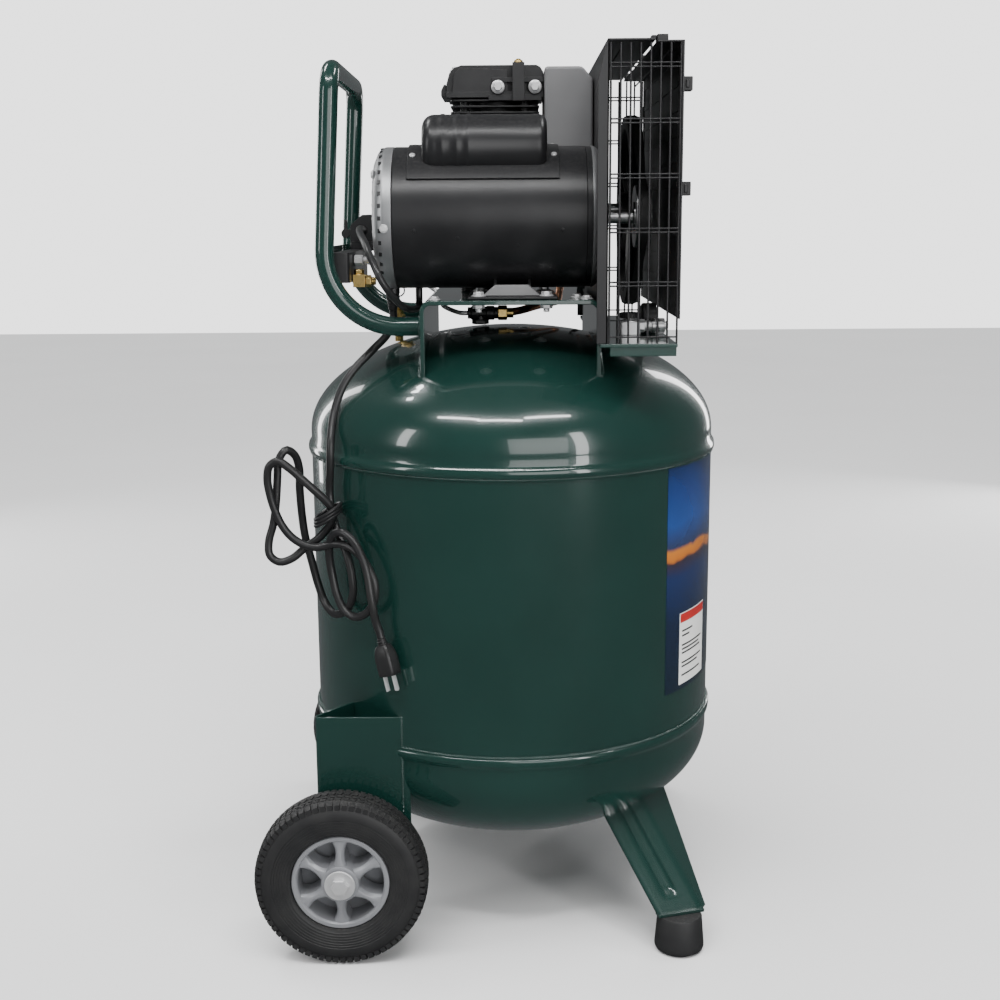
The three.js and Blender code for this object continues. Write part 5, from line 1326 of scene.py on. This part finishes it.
repeated(slat, "intake_filter", BLACK_PLASTIC, 13, step=(0, 7, 0), stands_for="air_filter", bevel=0.25,
         also=intake)

# %% [markdown]
# A moulded shroud between pump and guard leads the flywheel's air over the fins. It is a hollow box with
# its upper corner cut off and generous rounded edges, which a wide bevel gives.

# %% Air shroud
S_BACK, S_FRONT, S_LOW, S_TOP = FRONT + 0.5, 104.4, 925.3, 1043.7
# The shroud is black plastic. Its grey is a painted sheen: the lamps mirrored in its satin faces, painted
# into its colour.
shroud = Stock().pressed([(S_BACK, S_LOW), (S_FRONT, S_LOW), (S_FRONT, S_TOP - 16), (S_FRONT - 14, S_TOP),
                          (S_BACK, S_TOP)], PUMP_Y - 71.6, PUMP_Y + 71.6, "y")
piece(shroud, "air_shroud_moulded", PAINTED_SHEEN_GREY, stands_for="air_shroud", bevel=4.0, sharp=30)
# The slot on top is a thin black patch: painted shade for the dark inside of the shroud seen through its
# opening.
slit = Stock().pressed([(x + 72, y + PUMP_Y - 40) for x, y in rounded_box(9, 2.2, 2)],
                       S_TOP - 1, S_TOP + 0.15)
piece(slit, "shroud_slot", BLACK_PLASTIC)
print("pump made")

# %% [markdown]
# The belt drive: a fan-bladed flywheel on the crankshaft, a small pulley on the motor and a ribbed belt.
# The flywheel's blades are copies. The belt is a V section carried round the two grooves, along the
# outer tangents of the two circles, and its ribs are steps in the section's inner edge.

# %% Flywheel, pulley and belt
BELT_X, FLY_R, PULLEY_R, GROOVE = 157, 120, 37, 7
FLY_AXIS, PULLEY_AXIS = (0, PUMP_Y, CRANK_Z), (0, MOTOR_Y, MOTOR_Z)


def grooved(outer, inner, half):
    groove = [(outer, -half), (outer, -5.6), (outer - GROOVE, -4.2), (outer - GROOVE, 4.2), (outer, 5.6),
              (outer, half)]
    return [(inner, half - 1), (inner, 1 - half), (inner + 1, -half), (outer - 0.8, -half)] + groove[1:-1] + [
        (outer - 0.8, half), (inner + 1, half)]


rim_stock = Stock().turned([(r, BELT_X + h) for r, h in grooved(FLY_R, 104, 9)], "x", FLY_AXIS, 128)
rim_stock.turned([(10.4, BELT_X - 15), (22, BELT_X - 15), (24, BELT_X - 13), (24, BELT_X + 13),
                  (22, BELT_X + 15), (10.4, BELT_X + 15)], "x", FLY_AXIS, 56)
blade = Stock()
sections = [(20, 7.5, 0.30), (45, 8.2, 0.48), (75, 8.6, 0.62), (106, 8.8, 0.70)]
verts = []
for r, wide, twist in sections:
    c, s = cos(twist), sin(twist)
    for x, y in ((-1.7, -wide), (1.7, -wide), (1.7, wide), (-1.7, wide)):
        verts.append((BELT_X + (x * c + y * s) * 0.9, PUMP_Y + y * c - x * s + 0.06 * r, CRANK_Z + r))
faces = [[3, 2, 1, 0], [12, 13, 14, 15]]
faces += [[i * 4 + k, i * 4 + (k + 1) % 4, i * 4 + 4 + (k + 1) % 4, i * 4 + 4 + k]
          for i in range(3) for k in range(4)]
blade.put(verts, faces)
repeated(blade, "flywheel_cast", CAST_BLACK, 6, turn=(60, 0, 0), centre=FLY_AXIS, body="flywheel",
         stands_for="flywheel", bevel=0.5, also=rim_stock)
hub = Stock().turned([(r, BELT_X + h) for r, h in grooved(PULLEY_R, 17, 9)], "x", PULLEY_AXIS, 72)
hub.turned([(8.3, BELT_X - 11), (16, BELT_X - 11), (17.2, BELT_X - 10), (17.2, BELT_X + 10),
            (16, BELT_X + 11), (8.3, BELT_X + 11)], "x", PULLEY_AXIS, 40)
hub.turned([(8.3, BELT_X - 3), (36, BELT_X - 3), (36, BELT_X + 3), (8.3, BELT_X + 3)], "x", PULLEY_AXIS, 40)
piece(hub, "motor_pulley_cast", STEEL, "rotor", "motor_pulley", sharp=40)


def belt_line(grow, steps=200):
    """Points round both grooves at a height over them, with the outward direction at each."""
    big, small = FLY_R - GROOVE + grow, PULLEY_R - GROOVE + grow
    dy, dz = MOTOR_Y - PUMP_Y, MOTOR_Z - CRANK_Z
    heading, spread = atan2(dz, dy), acos((big - small) / hypot(dy, dz))
    corners = []
    for y, z, r, start, stop, n in ((PUMP_Y, CRANK_Z, big, heading + spread, heading + 2 * pi - spread, 72),
                                    (MOTOR_Y, MOTOR_Z, small, heading - spread, heading + spread, 24)):
        for k in range(n + 1):
            a = start + (stop - start) * k / n
            corners.append(Vector((y + r * cos(a), z + r * sin(a))))
    corners.append(corners[0])
    total = sum((b - a).length for a, b in zip(corners, corners[1:]))
    out, run, i = [], 0.0, 0
    for k in range(steps):
        want = total * k / steps
        while run + (corners[i + 1] - corners[i]).length < want:
            run += (corners[i + 1] - corners[i]).length
            i += 1
        part = (want - run) / (corners[i + 1] - corners[i]).length
        along = (corners[i + 1] - corners[i]).normalized()
        out.append((corners[i].lerp(corners[i + 1], part), Vector((along.y, -along.x))))
    return out


belt = Stock()
verts = []
line = belt_line(0.8, 240)
for k, (p, out) in enumerate(line):
    root = 2.6 if k % 2 else 0.0
    for x, h in ((-3.4, root), (-4.9, 7.0), (4.9, 7.0), (3.4, root)):
        verts.append((BELT_X + x, p.x + out.x * h, p.y + out.y * h))
n = len(line)
belt.put(verts, [[i * 4 + k, i * 4 + (k + 1) % 4, ((i + 1) % n) * 4 + (k + 1) % 4, ((i + 1) % n) * 4 + k]
                 for i in range(n) for k in range(4)])
piece(belt, "drive_belt_cogged", RUBBER, stands_for="drive_belt", sharp=30)

# %% [markdown]
# The belt guard is a pressed back pan, wire sides and a flat front panel held by plastic clips. Wires are
# thin round bars: one tree run makes all uprights of a side, and a loop lays its paired cross wires.

# %% Guard: pans and panels
G_BACK, G_FRONT, G_Y, G_TOP, SHEET = 107, 187, 228, 1047, 2
PANEL_LOW, G_LOW = 750, SHELF_TOP + 0.3
pan = Stock()


def pan_plate():
    """The back pan's plate with round openings for the motor and the flywheel's air."""
    bm = bmesh.new()
    edges = []

    def loop(points):
        ring = [bm.verts.new((0, y, z)) for y, z in points]
        edges.extend(bm.edges.new((a, b)) for a, b in zip(ring, ring[1:] + ring[:1]))

    loop([(-G_Y, G_LOW), (G_Y, G_LOW), (G_Y, G_TOP), (-G_Y, G_TOP)])
    for y, z, r, n in ((MOTOR_Y, MOTOR_Z, 16, 32), (PUMP_Y, CRANK_Z, 90, 96)):
        loop([(y + r * cos(2 * pi * k / n), z + r * sin(2 * pi * k / n)) for k in range(n)])
    bmesh.ops.triangle_fill(bm, use_beauty=True, edges=edges)
    flat = [v.co.copy() for v in bm.verts]
    bm.verts.index_update()
    tris = [[v.index for v in f.verts] for f in bm.faces]
    rim = [[v.index for v in e.verts] for e in bm.edges if len(e.link_faces) == 1]
    bm.free()
    count = len(flat)
    verts = [(x, p.y, p.z) for x in (G_BACK - SHEET, G_BACK) for p in flat]
    faces = tris + [[count + i for i in f][::-1] for f in tris]
    faces += [[a, b, count + b, count + a] for a, b in rim]
    return verts, faces


pan.put(*pan_plate())
lip = [(95, G_LOW), (G_BACK, G_LOW), (G_BACK, G_TOP), (G_BACK - 2, G_TOP), (95, G_TOP - 42)]
for y in (-G_Y, G_Y - SHEET):
    pan.pressed(lip, y, y + SHEET, "y")
pan.block(G_BACK - SHEET, 156, -G_Y, G_Y, G_TOP - SHEET, G_TOP)
piece(pan, "guard_back_pressed", BLACK_SHEET, stands_for="guard_back_pan", bevel=0.4, sharp=30)
panel = Stock().block(G_FRONT - SHEET, G_FRONT, -G_Y, G_Y, PANEL_LOW, G_TOP - 2)
panel.block(158, G_FRONT, -G_Y, G_Y, G_TOP - 4, G_TOP - 2)
for z in range(785, 1030, 27):
    panel.block(G_FRONT - SHEET - 1.2, G_FRONT + 1.2, -G_Y + 34, G_Y - 34, z, z + 5)
for y in (-G_Y + 26, G_Y - 26):
    panel.block(G_FRONT - SHEET - 1.0, G_FRONT + 1.0, y - 2, y + 2, PANEL_LOW + 12, G_TOP - 16)
piece(panel, "guard_front_pressed", BLACK_SHEET, stands_for="guard_front_panel", bevel=0.5, sharp=30)
clips = Stock()
for y0 in (-G_Y + 4, G_Y - 20):
    for z in (G_TOP - 164, G_TOP - 54):
        clips.block(G_FRONT - 4, G_FRONT + 9.6, y0, y0 + 16, z, z + 15)
        clips.block(G_FRONT + 2, G_FRONT + 6, y0 - 2, y0 + 18, z + 3, z + 12)
for y0 in (-20, -G_Y + 6, G_Y - 26):
    clips.block(158, 170, y0, y0 + 20, G_TOP - 3, G_TOP + 4.8)
    clips.block(152, 158, y0 + 3, y0 + 17, G_TOP, G_TOP + 4)
piece(clips, "guard_clips", BLACK_PLASTIC, bevel=1.0)
lip_screws = Stock()
for z in (1005, 782):
    hex_bolt(lip_screws, 101, -G_Y + 0.6, z, 2.8, 1.9, 3.6, "y", -0.3)
piece(lip_screws, "guard_lip_screws", ZINC)

# %% Guard: wire sides
WIRE_R = 1.2
CAGE_TOP = G_TOP - 4.3
first, last = G_BACK + 0.3 + WIRE_R, G_FRONT - SHEET - 0.3 - WIRE_R
gap = (last - first) / 7
row_gap = (CAGE_TOP - G_LOW - 30) / 5
for name, y, hides in (("near", -G_Y + WIRE_R, ("guard_wire_cage",)), ("far", G_Y - WIRE_R, ())):
    upright = Stock().bar([(first, y, G_LOW), (first, y, CAGE_TOP)], WIRE_R, 10)
    across = Stock()
    for k in range(6):
        z = G_LOW + 7.2 + row_gap * k
        for lift in (-2.1, 2.1) if 0 < k else (0,):
            across.bar([(first, y - 0.4 if name == "near" else y + 0.4, z + lift),
                        (last, y - 0.4 if name == "near" else y + 0.4, z + lift)], WIRE_R * 0.8, 8)
    repeated(upright, f"guard_wires_{name}", BLACK_SHEET, 8, step=(gap, 0, 0), stands_for=hides, also=across,
             sharp=50)
rails = Stock()
for x in (first + gap, last - gap):
    rails.bar([(x, -G_Y + 1.2, CAGE_TOP - 7), (x, G_Y - 1.2, CAGE_TOP - 7)], 1.1, 10)
piece(rails, "guard_rails", BLACK_SHEET)
print("guard made")

# %% [markdown]
# The front of the tank carries a printed film and a small white notice. Both are plain generic prints with
# no lettering: a curved patch of film just off the enamel, coloured by height and a soft pattern.

# %% Printed films
def curved_film(azimuths, heights, lift=0.35, steps=48, rounding=4.0):
    """A closed thin film on the tank between two azimuths (degrees from +X) and two heights."""
    (a0, a1), (z0, z1) = azimuths, heights
    verts, faces, rows = [], [], 12
    for r in (TANK_R + lift * 0.4, TANK_R + lift):
        for j in range(rows + 1):
            for i in range(steps + 1):
                a = radians(a0 + (a1 - a0) * i / steps)
                verts.append((r * cos(a), r * sin(a), z0 + (z1 - z0) * j / rows))
    wide, total = steps + 1, (steps + 1) * (rows + 1)
    for j in range(rows):
        for i in range(steps):
            a = j * wide + i
            faces.append([total + a, total + a + 1, total + a + wide + 1, total + a + wide])
            faces.append([a, a + wide, a + wide + 1, a + 1])
    rim = [i for i in range(wide)] + [j * wide + steps for j in range(1, rows + 1)]
    rim += [rows * wide + i for i in range(steps - 1, -1, -1)] + [j * wide for j in range(rows - 1, 0, -1)]
    faces += [[a, b, total + b, total + a] for a, b in zip(rim, rim[1:] + rim[:1])]
    return Stock().put(verts, faces)


def banded_print(name, stops, rough, wave=0.02):
    """A film whose colour follows height, with its bands bent by a slow noise."""
    made = bpy.data.materials.new(name)
    made.use_nodes = True
    tree, (low, high) = made.node_tree, (stops[0][0], stops[-1][0])
    shader = tree.nodes["Principled BSDF"]
    where = add_node(tree, "ShaderNodeTexCoord").outputs["Object"]
    height = add_node(tree, "ShaderNodeSeparateXYZ", {0: where}).outputs["Z"]
    cloud = add_node(tree, "ShaderNodeTexNoise", {"Scale": 14.0, "Detail": 3.0, "Vector": where})
    bend = add_node(tree, "ShaderNodeMath", operation="MULTIPLY_ADD", inputs={
        0: cloud.outputs["Fac"], 1: wave, 2: height})
    spread = add_node(tree, "ShaderNodeMapRange", {
        "From Min": low * MM, "From Max": high * MM, "Value": bend.outputs[0]})
    ramp = add_node(tree, "ShaderNodeValToRGB", {"Fac": spread.outputs["Result"]})
    for k, (z, color) in enumerate(stops):
        spot, marks = (z - low) / (high - low), ramp.color_ramp.elements
        if k < 2:
            marks[k].position = spot
        stop = marks[k] if k < 2 else marks.new(spot)
        stop.color = rgba(color)
    bits = add_node(tree, "ShaderNodeGroup", node_tree=GRAIN, inputs={"Size": 1.5})
    bumps = add_node(tree, "ShaderNodeBump", {
        "Strength": 0.08, "Distance": 0.00003, "Height": bits.outputs["Height"]})
    tree.links.new(bumps.outputs["Normal"], shader.inputs["Normal"])
    tree.links.new(ramp.outputs["Color"], shader.inputs["Base Color"])
    for label, value in (("Roughness", rough), ("Coat Weight", 0.6), ("Coat Roughness", 0.08)):
        shader.inputs[label].default_value = value
    return made


FILM = banded_print("blue and orange film", [
    (288, (0.003, 0.010, 0.018)), (400, (0.004, 0.012, 0.035)), (456, (0.008, 0.020, 0.080)),
    (475, (0.030, 0.020, 0.030)), (480, (0.45, 0.13, 0.012)), (488, (0.50, 0.16, 0.015)),
    (493, (0.020, 0.030, 0.080)), (524, (0.012, 0.050, 0.21)), (562, (0.008, 0.030, 0.14)),
    (592, (0.004, 0.016, 0.060))], 0.22, 0.035)
piece(curved_film((-44, 44), (296, 574)), "printed_film", FILM)
piece(curved_film((-37.5, -21), (302, 392), 0.7, 16), "notice_film", LABEL_WHITE)
piece(curved_film((-37.2, -21.3), (380, 391), 0.95, 16), "notice_header", RED)
lines = Stock()
for z, a1 in ((368, -30), (362, -32), (350, -23), (345, -25), (340, -24), (328, -23), (323, -26), (312, -24)):
    row = curved_film((-36.2, a1), (z, z + 2), 0.9, 10)
    lines.put(row.verts, row.faces)
piece(lines, "notice_rules", BLACK_PLASTIC)
print("films made")

# %% [markdown]
# CAD pieces whose shape is already right keep it and only get their finish: the cross plate, the drain
# cock, and the inner parts of motor and pump that show through slots and between fins.

# %% Finishes for the CAD pieces that stay
KEPT = {"handle_cross_plate": ENAMEL, "drain_valve_body": BRASS, "drain_valve_handle": BRASS,
        "motor_stator": STEEL, "motor_rotor": STEEL, "crankshaft": STEEL, "piston": CAST_SILVER}
for name, material in KEPT.items():
    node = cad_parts[name]
    for slot in node.material_slots:
        slot.material = material
    if not node.material_slots:
        node.data.materials.append(material)
print(len(KEPT), "CAD pieces keep their shape")

# %% [markdown]
# A plain pale floor and soft lamps. Glossy enamel shows what surrounds it, so the lamps are large soft
# panels placed where the tank's side and shoulder mirror them as long highlights, in a dim room.

# %% Floor and light
floor_mesh = bpy.data.meshes.new("floor")
floor_mesh.from_pydata([(-9, -9, 0), (9, -9, 0), (9, 9, 0), (-9, 9, 0)], [], [(0, 1, 2, 3)])
floor = bpy.data.objects.new("floor", floor_mesh)
bpy.context.scene.collection.objects.link(floor)
FLOOR = finish("pale floor", (0.88, 0.88, 0.88), (0.91, 0.91, 0.91), 0.75, grain=4, bump=0.02, depth=0.02,
               patches=900, dust=0.0, spec=0.2)
floor_mesh.materials.append(FLOOR)
floor.visible_glossy = False  # the enamel mirrors the room, not the floor

world = bpy.data.worlds.new("room")
bpy.context.scene.world = world
world.use_nodes = True
tree = world.node_tree
room = tree.nodes["Background"]
room.inputs["Color"].default_value = (0.75, 0.78, 0.80, 1)
room.inputs["Strength"].default_value = 0.16
seen = add_node(tree, "ShaderNodeBackground", {"Color": (1, 1, 1, 1), "Strength": 2.5})
path = add_node(tree, "ShaderNodeLightPath")
pick = add_node(tree, "ShaderNodeMixShader", {
    0: path.outputs["Is Camera Ray"], 1: room.outputs[0], 2: seen.outputs[0]})
tree.links.new(pick.outputs[0], tree.nodes["World Output"].inputs["Surface"])


def panel_light(name, place, target, size, power, color=(1, 1, 1)):
    lamp = bpy.data.lights.new(name, "AREA")
    lamp.shape = "RECTANGLE"
    lamp.size, lamp.size_y = size
    lamp.energy = power
    lamp.color = color
    thing = bpy.data.objects.new(name, lamp)
    bpy.context.scene.collection.objects.link(thing)
    thing.location = place
    aim = Vector(target) - Vector(place)
    thing.rotation_euler = aim.to_track_quat("-Z", "Y").to_euler()
    thing.visible_camera = False
    return thing


panel_light("wide front panel", (0.9, -3.4, 1.3), (0, 0, 0.6), (2.0, 1.8), 30)
panel_light("front soft panel", (1.7, -2.2, 1.2), (0, 0, 0.6), (0.35, 1.9), 20)
panel_light("left rear panel", (-1.9, 1.9, 1.1), (0, 0, 0.6), (0.3, 2.2), 14)
panel_light("right rear panel", (1.6, 2.4, 1.2), (0, 0, 0.6), (0.3, 2.0), 14)
panel_light("left front panel", (-2.6, -1.5, 1.5), (0, 0, 0.7), (0.35, 1.5), 14)
for k, (x, y) in enumerate(((-1.0, -1.2), (-0.2, -1.5), (0.7, -1.2), (1.3, 0.4), (-1.2, 0.6))):
    panel_light(f"ceiling strip {k}", (x, y, 2.7), (x * 0.4, 0, 0), (0.9, 0.12), 14)
sky = bpy.data.lights.new("even top light", "SUN")
sky.energy = 3.4
sky.angle = radians(70)
over = bpy.data.objects.new("even top light", sky)
bpy.context.scene.collection.objects.link(over)
over.rotation_euler = (radians(14), radians(-8), 0)
over.visible_glossy = False
